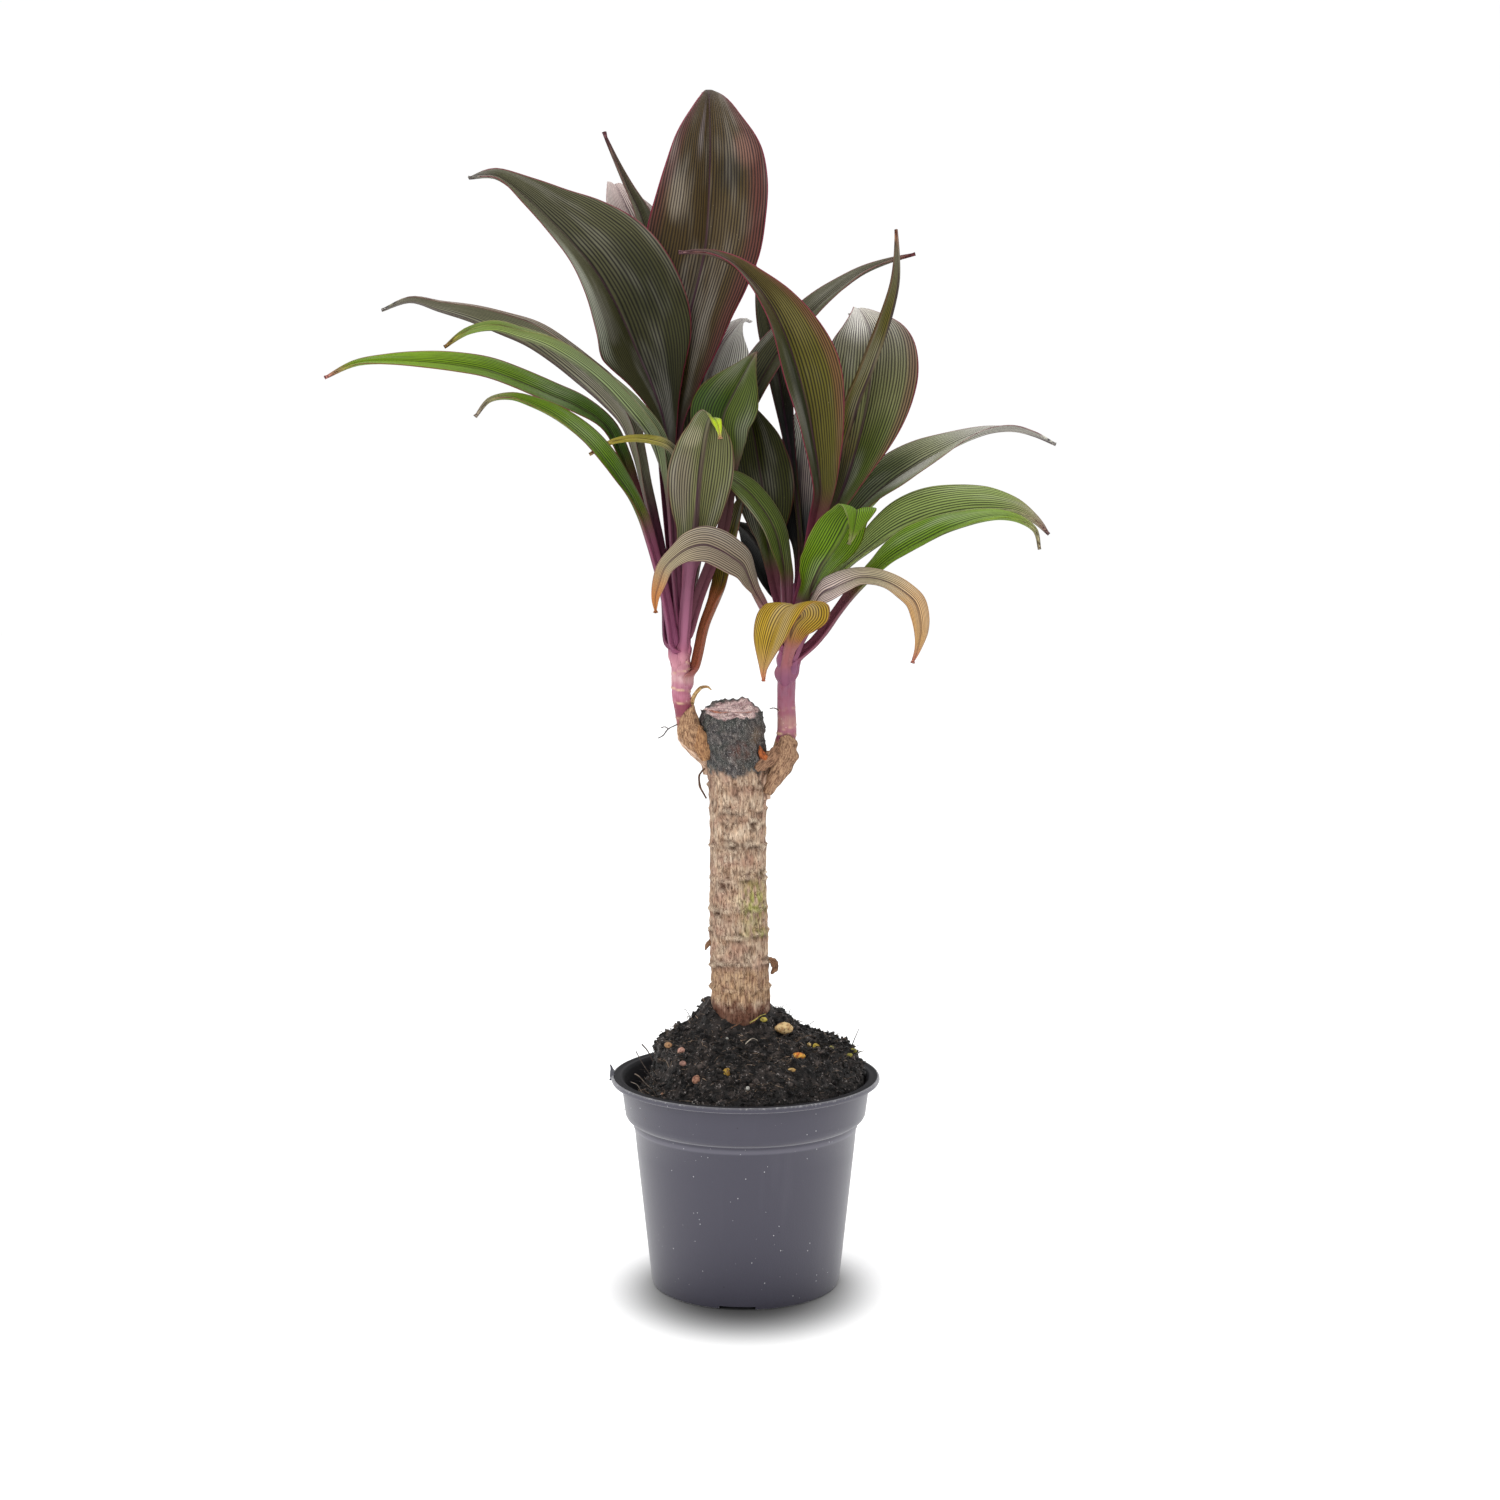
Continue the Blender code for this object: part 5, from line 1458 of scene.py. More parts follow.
def make_bit(name, pale, dark):
    """A dry bit with a mottled husk."""
    look = Look(name, Specular_IOR_Level=0.35)
    place = look.place()
    husk = look.noise(place, 480.0, 3.0, 0.6)
    look.colour = srgb(*pale)
    look.lay(look.step(husk, 0.35, 0.65), dark)
    spot = look.step(look.noise(look.shift(place, (0.01, 0.0, 0.0)), 700.0, 2.0), 0.6, 0.7)
    look.lay(spot * 0.7, (70, 48, 34))
    bump = look.bump(look.noise(place, 1400.0, 3.0, 0.6), 0.3 * MM)
    return look.finish(Roughness=0.62 + husk * 0.1, Normal=bump)


class TI_PLANT_OT_soil(bpy.types.Operator):
    """Model the mound of peat with its crumbs and fibres."""

    bl_idname = "ti_plant.soil"
    bl_label = "Peat"

    def execute(self, context):
        soil = context.scene.ti_plant.soil
        rng = random.Random(SOIL_SEED)
        tree = node_tree("soil")
        peat = make_peat(soil, "peat", (98, 86, 80))
        root = make_peat(soil, "peat_root", (176, 150, 126))
        settle(model_mound(tree), "peat", ("soil",), peat)
        settle(scatter_crumbs(tree, soil, rng), "peat", ("soil",), peat)
        settle(scatter_fibres(tree, soil, rng), "peat", ("soil",), root)
        for i, (*shape, pale) in enumerate(STRAWS):
            name = f"straw_{i:02d}"
            dark = tuple(value * 0.6 for value in pale)
            settle(model_straw(name, *shape), "peat", (), make_bit(name, pale, dark))
        return {"FINISHED"}


class TI_PLANT_OT_grains(bpy.types.Operator):
    """Model the grains and flecks of bark on the peat."""

    bl_idname = "ti_plant.grains"
    bl_label = "Grains"

    def execute(self, context):
        tree = node_tree("soil")
        for name, (halves, turn, pale, dark) in GRAIN_LOOKS.items():
            low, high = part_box(name)
            middle = (Vector(low) + Vector(high)) / 2
            middle.z = max(middle.z, peat_over(tree, middle.x, middle.y)) + GRAIN_LIFT
            lump = model_lump(name.replace("_", "_bit_"), middle, halves, turn)
            settle(lump, SLOTS[name], (name,), make_bit(name, pale, dark))
        for i, (x, y, halves, pale) in enumerate(BITS):
            name = f"small_bit_{i:02d}"
            middle = Vector((x * MM, y * MM, peat_over(tree, x * MM, y * MM) + BIT_LIFT))
            lump = model_lump(name, middle, halves, i * 0.9, fine=2)
            dark = tuple(value * 0.7 for value in pale)
            settle(lump, "grain_yellow", (), make_bit(name, pale, dark))
        return {"FINISHED"}


# The leaves' colours in screen values, by names that the rows below use. Two whitish greys are
# painted sheen, where light glints on the glossy leaves, and the pale pink is painted sheen on one
# leaf and the leaf's own colour on another.
LEAF_TONES = {
    "soot": (34, 33, 27), "dusk": (48, 48, 36), "bottle": (58, 60, 24), "olive": (60, 60, 44),
    "umber": (68, 58, 42), "twig": (78, 70, 44), "moss": (84, 80, 42), "sage": (78, 78, 60),
    "haze": (92, 92, 74), "ash": (106, 104, 90), "heath": (98, 100, 70), "clay": (96, 80, 72),
    "forest": (58, 75, 34), "ivy": (78, 90, 48), "pine": (48, 74, 10), "grass": (72, 98, 8),
    "clover": (92, 120, 24), "spring": (110, 142, 40), "lime": (116, 152, 10),
    "fern": (108, 120, 86), "meadow": (118, 134, 78), "lichen": (124, 128, 100),
    "chestnut": (94, 68, 38), "mustard": (90, 86, 20), "straw": (140, 134, 66),
    "gold": (160, 150, 64), "ochre": (150, 124, 48), "rust": (148, 98, 66),
    "sand": (186, 150, 104), "rose": (134, 90, 90), "mist": (124, 114, 100),
    "faded": (150, 140, 116), "dove": (128, 118, 116), "blush": (194, 178, 176),
    "slate": (60, 62, 62), "silver": (160, 160, 154), "pearl": (206, 204, 202),
}

# What each leaf looks like, in screen values. Left and right are the blade's colours on the two
# sides of its midrib from its base to its tip, or both if they are alike, stalk runs up the
# stalk, and under is the underside. Rib and rim are how strongly the midrib and the margin show.
# Wide_left and wide_right, or wide, are how much wider than in the model a half is, at equal
# steps from stem to tip. Each patch has its middle and half width across the leaf, from 1 at the
# left margin to -1 at the right one, the same along the blade from 0 to 1, its colour and its
# strength. The other keys are as in USUAL_LOOK.
# Some tones, tips, undersides and patches below are painted sheen or painted highlight: pale greys
# and whites where the glossy leaves catch the light, as noted at those leaves.
LEAF_LOOKS = {
    "leaf_left_01": dict(
        both="dusk umber umber umber",
        stalk=((104, 50, 72), (96, 52, 70)), under=((120, 108, 108), (140, 132, 130)),
        rib=0.9, rim=1.0, taper=0.0, round_from=0.86, reach=(0, 0, 3.2), droop=0.3,
        patches=((-0.9, 0.22, 0.6, 0.45, (92, 50, 56), 0.5),
                 (0.95, 0.2, 0.8, 0.35, (88, 48, 56), 0.5),
                 # Painted highlight: a reddish gleam on the right half.
                 (-0.65, 0.2, 0.74, 0.04, (112, 84, 76), 0.7),
                 # Painted highlight: a pale spot on the left half.
                 (0.62, 0.2, 0.6, 0.05, (112, 100, 82), 0.6),
                 (-0.35, 0.2, 0.68, 0.05, (44, 42, 30), 0.6),
                 # Painted sheen: a pale streak on the left half.
                 (0.28, 0.07, 0.8, 0.08, (104, 96, 98), 0.6),
                 (-0.4, 0.3, 0.55, 0.08, (88, 78, 60), 0.4),
                 (0.1, 0.6, 0.95, 0.07, (56, 46, 40), 0.6)),
        wide_left=(1, 1, 1, 1, 0.95, 1.0, 1.1, 1.06, 0.87, 0.7, 0.4),
        wide_right=(1, 1, 1, 1, 0.95, 1.05, 0.95, 0.95, 0.99, 1.02, 1.0)),
    "leaf_left_02": dict(
        left="olive olive sage haze", right="dusk olive sage haze",
        stalk=((96, 50, 70), (74, 40, 52)), under=((112, 108, 104), (128, 126, 120)),
        # Painted sheen: the grey tip, and the first two patches, the pale rolled left margin and a
        # soft grey patch high on the blade.
        rib=0.85, rim=0.9, tip=(150, 148, 144),
        patches=((0.85, 0.16, 0.55, 0.18, (140, 144, 132), 0.8),
                 (0.2, 0.5, 0.76, 0.1, (86, 86, 72), 0.5),
                 (-0.3, 0.5, 0.22, 0.12, (40, 42, 30), 0.5),
                 (-0.5, 0.3, 0.5, 0.1, (48, 50, 38), 0.5))),
    "leaf_left_03": dict(
        # Painted sheen: the pale grey top of the right half.
        left="haze ash haze ash", right="haze ash mist silver",
        stalk=((104, 58, 82), (70, 42, 52)), under=((64, 40, 48), (120, 118, 114)),
        rib=0.7, rim=0.6),
    "leaf_left_04": dict(
        both="haze fern fern meadow lime",
        stalk=((122, 66, 92), (96, 62, 74)), under=((120, 118, 104), (140, 140, 120)),
        rib=0.45, rim=0.55, tip=(140, 90, 60),
        wide=(1, 1, 1, 0.95, 0.85, 0.72, 0.62, 0.62, 0.7, 0.8, 1)),
    "leaf_left_05": dict(
        both="pine grass clover spring lime",
        stalk=((112, 56, 84), (82, 44, 52)), under=((110, 112, 84), (130, 136, 100)),
        rib=0.4, rim=0.9, tip=(196, 120, 130)),
    "leaf_left_06": dict(
        both="moss grass clover clover faded",
        stalk=((124, 70, 98), (112, 66, 84)), under=((150, 148, 142), (160, 158, 150)),
        rib=0.4, rim=0.8, tip=(150, 140, 128)),
    "leaf_left_07": dict(
        both="ash ash straw gold sand",
        stalk=((150, 86, 112), (120, 84, 92)), under=((130, 124, 100), (160, 150, 100)),
        rib=0.3, rim=0.4),
    "leaf_left_08": dict(
        left="umber heath heath meadow", right="sage heath heath fern",
        stalk=((146, 92, 114), (120, 78, 96)), under=((112, 104, 96), (126, 120, 104)),
        rib=0.85, rim=0.6, reach=(3.5, 0, 0.5), reach_from=0.62, tip=(236, 170, 140), tip_from=0.95,
        patches=((0.0, 1.8, 0.95, 0.08, (176, 204, 30), 1.0),
                 (0.1, 0.3, 0.98, 0.05, (226, 206, 80), 0.8),
                 (-0.6, 0.4, 0.45, 0.2, (122, 108, 108), 0.4),
                 (-0.5, 0.4, 0.7, 0.05, (150, 146, 124), 0.5))),
    "leaf_left_09": dict(
        both="chestnut mustard mustard twig",
        stalk=((128, 74, 56), (124, 76, 52)), under=((96, 56, 72), (110, 70, 84)),
        rib=0.5, rim=0.8),
    "leaf_left_10": dict(
        left="sage forest forest ivy ivy", right="ivy ivy ivy ivy heath",
        stalk=((116, 70, 84), (84, 60, 60)), under=((90, 92, 70), (110, 112, 84)),
        rib=0.75, rim=0.5, tip=(150, 120, 110)),
    "leaf_left_11": dict(
        left="olive haze ash clay", right="dusk olive sage clay",
        stalk=((92, 48, 66), (70, 42, 50)), under=((90, 84, 76), (106, 100, 90)),
        rib=0.6, rim=0.7, tip=(120, 70, 80),
        wide_left=(1, 1, 1.2, 1.6, 1.9, 2, 2, 1.8, 1.6, 1.3, 1),
        wide_right=(1, 1, 1.2, 1.4, 1.6, 1.6, 1.6, 1.5, 1.4, 1.2, 1)),
    "leaf_left_12": dict(
        # Painted highlight: the pale tip on both faces, where the top bends back and catches the
        # light.
        both="dusk olive dove blush",
        stalk=((92, 48, 66), (64, 40, 48)), under=((90, 82, 80), (176, 162, 162)),
        rib=0.8, rim=0.5, round_from=0.8, reach=(-1, 0, 4),
        wide_left=(1, 1, 1, 1, 1, 1, 1, 1, 1.1, 1.6, 1.6),
        wide_right=(1, 1, 1, 1, 1, 1, 1, 1, 1.1, 1.3, 1.3)),
    "leaf_left_13": dict(
        # Painted highlight: the whitish tip on both faces, where the top bends back and catches the
        # light.
        left="dusk olive dove pearl", right="olive ash silver pearl",
        stalk=((92, 48, 66), (70, 44, 50)), under=((70, 66, 60), (220, 218, 218)),
        rib=0.6, rim=0.3, round_from=0.8, reach=(0, 0, 1),
        wide_left=(1, 1, 1, 1, 1.2, 1.4, 1.6, 1.7, 1.6, 1.4, 1.2),
        wide_right=(1, 1, 1, 1, 1.2, 1.4, 1.6, 1.7, 1.6, 1.2, 0.8)),
    "leaf_left_14": dict(
        left="ivy dusk olive sage ash", right="olive dusk olive sage ash",
        stalk=((96, 52, 66), (80, 62, 50)), under=((90, 84, 76), (116, 112, 107)),
        rib=0.6, rim=0.8, tip=(120, 60, 66)),
    "leaf_right_01": dict(
        both="rose mist mist faded sand",
        stalk=((150, 84, 112), (120, 76, 96)), under=((140, 132, 120), (190, 150, 110)),
        rib=0.85, rim=0.5, tip=(196, 122, 64), tip_from=0.72,
        wide=(1, 1, 1, 1, 1, 1, 1, 0.9, 0.62, 0.9, 1.2)),
    "leaf_right_02": dict(
        both="moss ivy ivy ivy ivy",
        stalk=((140, 78, 104), (110, 72, 84)), under=((100, 96, 80), (110, 110, 84)),
        rib=0.7, rim=0.5),
    "leaf_right_03": dict(
        left="dusk bottle bottle umber clay", right="moss moss moss twig clay",
        stalk=((146, 84, 112), (96, 50, 62)), under=((110, 90, 84), (110, 92, 84)),
        rib=0.8, rim=1.0, tip=(110, 60, 70),
        patches=((-0.88, 0.2, 0.5, 0.35, (104, 70, 58), 0.6),
                 (-0.4, 0.25, 0.6, 0.08, (104, 98, 62), 0.5),
                 (0.4, 0.3, 0.35, 0.2, (38, 42, 22), 0.6))),
    "leaf_right_04": dict(
        # Painted sheen: the whitish tip and the tip colour, where the bent-over top catches the
        # light.
        left="twig twig heath ash silver", right="sage ivy heath ash faded",
        stalk=((126, 66, 92), (96, 56, 62)), under=((130, 128, 120), (178, 174, 168)),
        rib=0.85, rim=0.9, tip=(206, 204, 200), tip_from=0.72, round_from=0.84, reach=(0, 0, 2),
        # Painted sheen: the first two patches on the top, and the fifth, a pale streak low on the
        # right.
        patches=((0.35, 0.5, 0.88, 0.14, (206, 206, 202), 0.7),
                 (-0.3, 0.5, 0.84, 0.06, (166, 162, 150), 0.6),
                 (-0.92, 0.14, 0.5, 0.3, (98, 68, 62), 0.6),
                 (0.4, 0.5, 0.15, 0.12, (40, 46, 34), 0.6),
                 (-0.2, 0.25, 0.22, 0.08, (128, 130, 120), 0.5),
                 (-0.5, 0.3, 0.35, 0.1, (66, 74, 36), 0.5))),
    "leaf_right_05": dict(
        both="twig moss moss ash",
        stalk=((120, 64, 88), (92, 60, 60)), under=((100, 90, 66), (112, 98, 78)),
        rib=0.5, rim=0.6, tip=(130, 80, 60)),
    "leaf_right_06": dict(
        # Painted sheen: the pale tip on both faces, and the first patch, a pale band along the right
        # margin.
        both="ivy ivy lichen silver silver",
        stalk=((120, 66, 90), (84, 54, 62)), under=((150, 150, 142), (169, 169, 165)),
        rib=0.7, rim=0.8,
        patches=((-0.5, 0.4, 0.42, 0.12, (166, 166, 164), 0.6),
                 (0.4, 0.4, 0.3, 0.15, (62, 72, 44), 0.6))),
    "leaf_right_07": dict(
        both="clover meadow meadow meadow faded",
        stalk=((140, 76, 108), (110, 62, 80)), under=((157, 153, 152), (170, 168, 164)),
        rib=0.7, rim=0.5, tip=(110, 70, 80)),
    "leaf_right_08": dict(
        both="moss clover clover spring faded",
        stalk=((130, 72, 92), (100, 62, 70)), under=((110, 122, 70), (140, 150, 110)),
        rib=0.5, rim=0.5),
    "leaf_right_09": dict(
        both="ivy spring spring clover",
        stalk=((110, 66, 80), (96, 80, 60)), under=((120, 140, 80), (120, 136, 80)),
        rib=0.4, rim=0.4),
    "leaf_right_10": dict(
        both="ivy clover clover clover clover",
        stalk=((140, 76, 104), (106, 62, 84)), under=((130, 136, 100), (144, 148, 102)),
        rib=0.6, rim=0.5, tip=(150, 146, 110)),
    "leaf_right_11": dict(
        both="faded blush faded sand sand",
        stalk=((140, 78, 106), (116, 74, 90)), under=((174, 164, 158), (190, 170, 140)),
        rib=0.7, rim=0.5, tip=(196, 120, 110)),
    "leaf_right_12": dict(
        both="rust ochre ochre ochre sand",
        stalk=((150, 92, 104), (140, 90, 90)), under=((150, 146, 130), (150, 146, 130)),
        rib=0.35, rim=0.7, tip=(196, 110, 84)),
    "leaf_right_13": dict(
        both="ivy bottle bottle bottle",
        stalk=((140, 76, 104), (90, 56, 62)), under=((60, 60, 34), (70, 70, 40)),
        rib=0.7, rim=0.6, moved=(-8, 0, 1),
        wide=(1, 1, 1.1, 1.2, 1.2, 1.2, 1.2, 1.2, 1.2, 1.2, 1.2)),
    "leaf_right_14": dict(
        both="olive bottle soot dusk olive sage",
        stalk=((96, 50, 72), (78, 44, 56)), under=((50, 44, 40), (70, 66, 50)),
        rib=0.7, rim=0.6, moved=(2, 0, 0),
        wide=(1, 1, 0.6, 0.3, 0.24, 0.28, 0.4, 0.6, 0.8, 1, 1)),
    "leaf_right_15": dict(
        # Painted sheen: the pale grey top of both halves.
        left="olive soot slate silver silver", right="umber slate dove silver silver",
        stalk=((140, 74, 104), (100, 56, 76)), under=((60, 60, 56), (80, 80, 76)),
        rib=0.5, rim=0.4),
    "leaf_right_16": dict(
        both="soot soot soot dusk",
        stalk=((120, 60, 84), (50, 34, 38)), under=((40, 36, 32), (50, 46, 40)),
        rib=0.5, rim=0.3),
}

# What a leaf has where its own row doesn't say. Taper is how much it narrows near its tip, and
# from round_from on it is rounded off. Reach moves its tip, from reach_from on, and moved shifts
# all but its stalk's foot, in millimetres. Droop bends its sides down at the tip, and the tip's
# colour begins at tip_from.
USUAL_LOOK = dict(
    wide=(1, 1), taper=0.3, round_from=0.97, reach=(0, 0, 0), reach_from=0.88, moved=(0, 0, 0),
    droop=None, tip=None, tip_from=0.9, patches=())

RING_CORNERS = 8
LEAF_COLUMNS = 26
LEAF_ROWS = 100
BLADE_GROWTH = 1.3
STALK_GROWTH = 0.6
# Painted light: the stalks' colours are raised by this factor above their measured colour, to make up
# for the shade that the leaves cast on them.
STALK_PAINTED_LIGHT = 1.3
GLOSS_SHARE = 0.017
CHANNEL_DEPTH = 0.45 * MM
CHANNEL_WIDTH = 1.3 * MM
KEEL_DEPTH = 0.9 * MM
KEEL_WIDTH = 1.1 * MM
EDGE_THINNING = 0.8
THICK_SHARE = 0.62
THIN_SHARE = 0.02
BOW = 0.24
RIPPLE_LENGTH = 27.0 * MM

# The broad foot of a stalk, from its top down: how far under the leaf's own first section each
# ring lies in millimetres, how wide it wraps and how far it lifts off the shoot in millimetres.
CLASP = ((3.5, 1.35, 0.6), (7.5, 1.3, 0.15), (10.5, 0.5, -1.8))
CLASP_RINGS = len(CLASP)
LEAF_COLOURS = ("tone", "under_tone")
LEAF_VALUES = ("vein", "run", "rib", "rim", "blade", "ribbing", "rimming")


def read_rings(name):
    """The sections of a leaf's node from the stem to the tip, each with its corners."""
    mesh = frame["nodes"][name].data
    near = {}
    for face in mesh.polygons:
        spots = [tuple(round(value, 5) for value in mesh.vertices[i].co) for i in face.vertices]
        for spot in spots:
            near.setdefault(spot, set()).update(spots)
    spreads = {}
    for spot in near:
        close = sorted(near, key=lambda other: math.dist(spot, other))[:RING_CORNERS]
        spreads[spot] = (math.dist(spot, close[-1]), close)
    tip = set(min(spreads.values())[1])
    rings = [tip]
    seen = set(tip)
    while len(seen) < len(near):
        ring = set().union(*(near[spot] for spot in rings[-1])) - seen
        rings.append(ring)
        seen |= ring
    if any(len(ring) != RING_CORNERS for ring in rings):
        raise RuntimeError(f"{name} has no plain rings: {[len(ring) for ring in rings]}")
    return [[Vector(spot) for spot in sorted(ring)] for ring in reversed(rings)]


def read_leaf(name):
    """A leaf's midrib, and the ways to its left and right margins, ring by ring in the model."""
    rings = read_rings(name)
    last = len(rings) - 1
    middles = [sum(ring, Vector()) / RING_CORNERS for ring in rings]
    leaf = dict(rib=[], left=[], right=[])
    across = up = None
    for i, ring in enumerate(rings):
        along = (middles[min(i + 1, last)] - middles[max(i - 1, 0)]).normalized()
        if i < last:
            pairs = [(one, two) for one in ring for two in ring]
            if across is None:
                one, two = max(pairs, key=lambda pair: (pair[0] - pair[1]).length)
            else:
                one, two = max(pairs, key=lambda pair: (pair[0] - pair[1]).dot(across))
            across = (one - two).normalized()
        ring.sort(key=across.dot)
        rib = (ring[3] + ring[4]) / 2
        if i < last:
            up = (ring[0] + ring[-1]) / 2 - rib
        if up.cross(along).dot(across) > 0:
            right, left = ring[0], ring[-1]
        else:
            left, right = ring[0], ring[-1]
        leaf["rib"].append(rib)
        leaf["left"].append(left - rib)
        leaf["right"].append(right - rib)
    return leaf


def clasp_stem(leaf, sections):
    """Starts a leaf lower down, where its stalk's broad foot wraps round the shoot."""
    foot = leaf["rib"][0]
    x, y, _ = section_at(sections, foot.z)
    out = Vector((foot.x - x, foot.y - y, 0.0))
    if out.length < 1.0 * MM:
        out = leaf["rib"][2] - foot
        out.z = 0.0
    out.normalize()
    tangent = UP.cross(out)
    side = 1.0 if tangent.dot(leaf["left"][0] - leaf["right"][0]) > 0 else -1.0
    for drop, wide, lift in CLASP:
        height = foot.z - drop * MM
        x, y, radius = section_at(sections, height)
        spot = Vector((x, y, height)) + out * (radius + lift * MM)
        reach = tangent * side * radius * 0.62 * wide
        wrap = out * (radius * 0.36 * wide ** 2)
        leaf["rib"].insert(0, spot)
        leaf["left"].insert(0, reach - wrap)
        leaf["right"].insert(0, -reach - wrap)


def full_look(name):
    """A leaf's look, filled in with what its two sides share and with what is usual."""
    look = {**USUAL_LOOK, **LEAF_LOOKS[name]}
    for side in ("left", "right"):
        tones = look.get(side) or look["both"]
        look[side] = [LEAF_TONES[tone] for tone in tones.split()]
        look.setdefault("wide_" + side, look["wide"])
    return look


def stop_colour(stops, share):
    """The linear colour at a share of the way through evenly spaced stops of screen values."""
    place = clamp(share) * (len(stops) - 1)
    i = min(int(place), len(stops) - 2)
    return blend(Vector(srgb(*stops[i])), stops[i + 1], ease(place - i))


def moved_rib(leaf, look, share):
    """The place of a leaf's midrib at a share of its length, with its shifts."""
    rib = read_smoothly(leaf["rib"], share)
    reached = ease((share - look["reach_from"]) / (1.0 - look["reach_from"]))
    rib = rib + Vector(look["reach"]) * MM * reached
    return rib + Vector(look["moved"]) * MM * ease(share / 0.45)


def leaf_row(leaf, look, share, leaves):
    """The places, ways and widths that a leaf has at a share of its length."""
    along = way_along(leaf["rib"], share, 0.01)
    left = read_smoothly(leaf["left"], share)
    right = read_smoothly(leaf["right"], share)
    round_from = look["round_from"]
    sharp = 1.0 - look["taper"] * ease((share - 0.8) / 0.17)
    closing = max(0.0, share - round_from) / (1.0 - round_from)
    sharp *= 0.02 + 0.98 * math.sqrt(max(0.0, 1.0 - closing ** 2))
    level = ease((share - round_from + 0.08) / 0.08)
    left = left - along * left.dot(along) * level
    right = right - along * right.dot(along) * level
    if look["droop"]:
        for half in (left, right):
            half.z -= (half.z + look["droop"] * half.length) * ease((share - 0.91) / 0.06)
    blade = ease((share - leaf["start"]) / 0.12)
    stout = 1.0 + STALK_GROWTH * (1.0 - blade) * ease(share / max(0.05, 0.5 * leaf["start"]))
    for half, side in ((left, "wide_left"), (right, "wide_right")):
        half *= read_smoothly(look[side], share) * sharp
        half *= stout
    up = along.cross((left - right).normalized()).normalized()
    thick = leaves.stalk_thickness + (leaves.thickness - leaves.stalk_thickness) * blade
    return dict(share=share, rib=moved_rib(leaf, look, share), left=left, right=right, up=up,
                blade=blade, thick=thick, run=leaf["length"] * share)


def find_blade(leaf):
    """The share of a leaf's length at which its stalk widens into its blade."""
    widths = [(a - b).length for a, b in zip(leaf["left"], leaf["right"])]
    stalk = widths[CLASP_RINGS + 1]
    for i in range(CLASP_RINGS, len(widths)):
        if widths[i] > BLADE_GROWTH * stalk:
            return (i - 1) / (len(widths) - 1)
    raise RuntimeError("no blade found on a leaf")


def leaf_place(row, t, seed, leaves):
    """The place on a leaf's upper side at t, from 1 at its left margin to -1 at its right one."""
    half = row["left"] if t > 0 else row["right"]
    a = abs(t)
    width = half.length
    place = row["rib"] + half * a
    lift = BOW * width * a * (1.0 - a) * row["blade"]
    lift -= CHANNEL_DEPTH * bump_at(a * width, CHANNEL_WIDTH) * row["blade"]
    swing = noise.noise(Vector((row["run"] / RIPPLE_LENGTH, seed * 3.7, 2.0 if t > 0 else 9.0)))
    wide = min(1.0, width / (12 * MM))
    lift += leaves.ripple * 2.2 * swing * a ** 2 * row["blade"] * wide
    lift += row["thick"] / 2 * (1.0 - a * a)
    return place + row["up"] * lift


def deepen(colour):
    """A colour without the share of white that the gloss of the skin adds to it."""
    return Vector(max(0.003, value - GLOSS_SHARE) for value in colour)


def patch_share(spread, b, t):
    """How strongly a patch of a leaf shows at t across it and a share b along its blade."""
    across, half_across, along, half_along = spread
    return ease(1.5 - math.hypot((t - across) / half_across, (b - along) / half_along))


def leaf_tone(row, look, leaf, t):
    """The colours of a leaf's upper side and underside at t across it."""
    b = (row["share"] - leaf["start"]) / (1.0 - leaf["start"])
    side = ease(t / 0.24 + 0.5)
    tone = stop_colour(look["right"], b).lerp(stop_colour(look["left"], b), side)
    # The stalk's colour, brightened as painted light.
    stalk = STALK_PAINTED_LIGHT * stop_colour(look["stalk"], row["share"] / max(0.1, leaf["start"]))
    under = stop_colour(look["under"], b)
    foot = band_colour(leaf["bands"], row["rib"].z / MM)
    stalk = foot.lerp(stalk, ease((row["share"] - 0.03) / 0.16))
    for *spread, colour, strength in look["patches"]:
        tone = blend(tone, colour, strength * patch_share(spread, b, t))
    if look["tip"]:
        tipped = ease((b - look["tip_from"]) / (1.0 - look["tip_from"]))
        tone = blend(tone, look["tip"], tipped * 0.85)
    blade = ease((row["share"] - leaf["start"] + 0.02) / 0.1)
    return tuple(deepen(stalk.lerp(colour, blade)) for colour in (tone, under))


def half_width(row, t):
    """The width of a leaf's left or right half in a row."""
    return (row["left"] if t > 0 else row["right"]).length


def paint_leaf(piece, spots, look, leaf, seed, leaves):
    """Stores a leaf's colours and the distances that its veins and margins follow."""
    tones, unders, *rest = add_attributes(piece.data, LEAF_COLOURS, LEAF_VALUES)
    values = dict(zip(LEAF_VALUES, rest))
    widest = max(half_width(row, t) for row, t in spots)
    for k, (row, t) in enumerate(spots):
        a = abs(t)
        width = half_width(row, t)
        b = max(0.0, (row["share"] - leaf["start"]) / (1.0 - leaf["start"]))
        tone, under = leaf_tone(row, look, leaf, t)
        tones[k].color = (*tone, 1.0)
        unders[k].color = (*under, 1.0)
        shown = width ** 0.35 * widest ** 0.65
        slant = 0.03 * row["run"] * (1.0 - a) * row["blade"]
        count = (a * shown - slant) / (leaves.vein_spacing * (0.85 + widest / (60 * MM)))
        narrow = max(0.0, 2.2 - width / MM) * 0.5
        values["vein"][k].value = count if t > 0 else -count
        values["run"][k].value = row["run"] / MM + seed * 37.0
        values["rib"][k].value = a * width / ((0.25 + 0.5 * (1.0 - min(1.0, b))) * MM)
        values["rim"][k].value = (1.0 - a) * width / MM + narrow
        values["blade"][k].value = row["blade"]
        values["ribbing"][k].value = look["rib"] * (1.0 - 0.55 * min(1.0, b)) * row["blade"]
        values["rimming"][k].value = look["rim"] ** 2.4


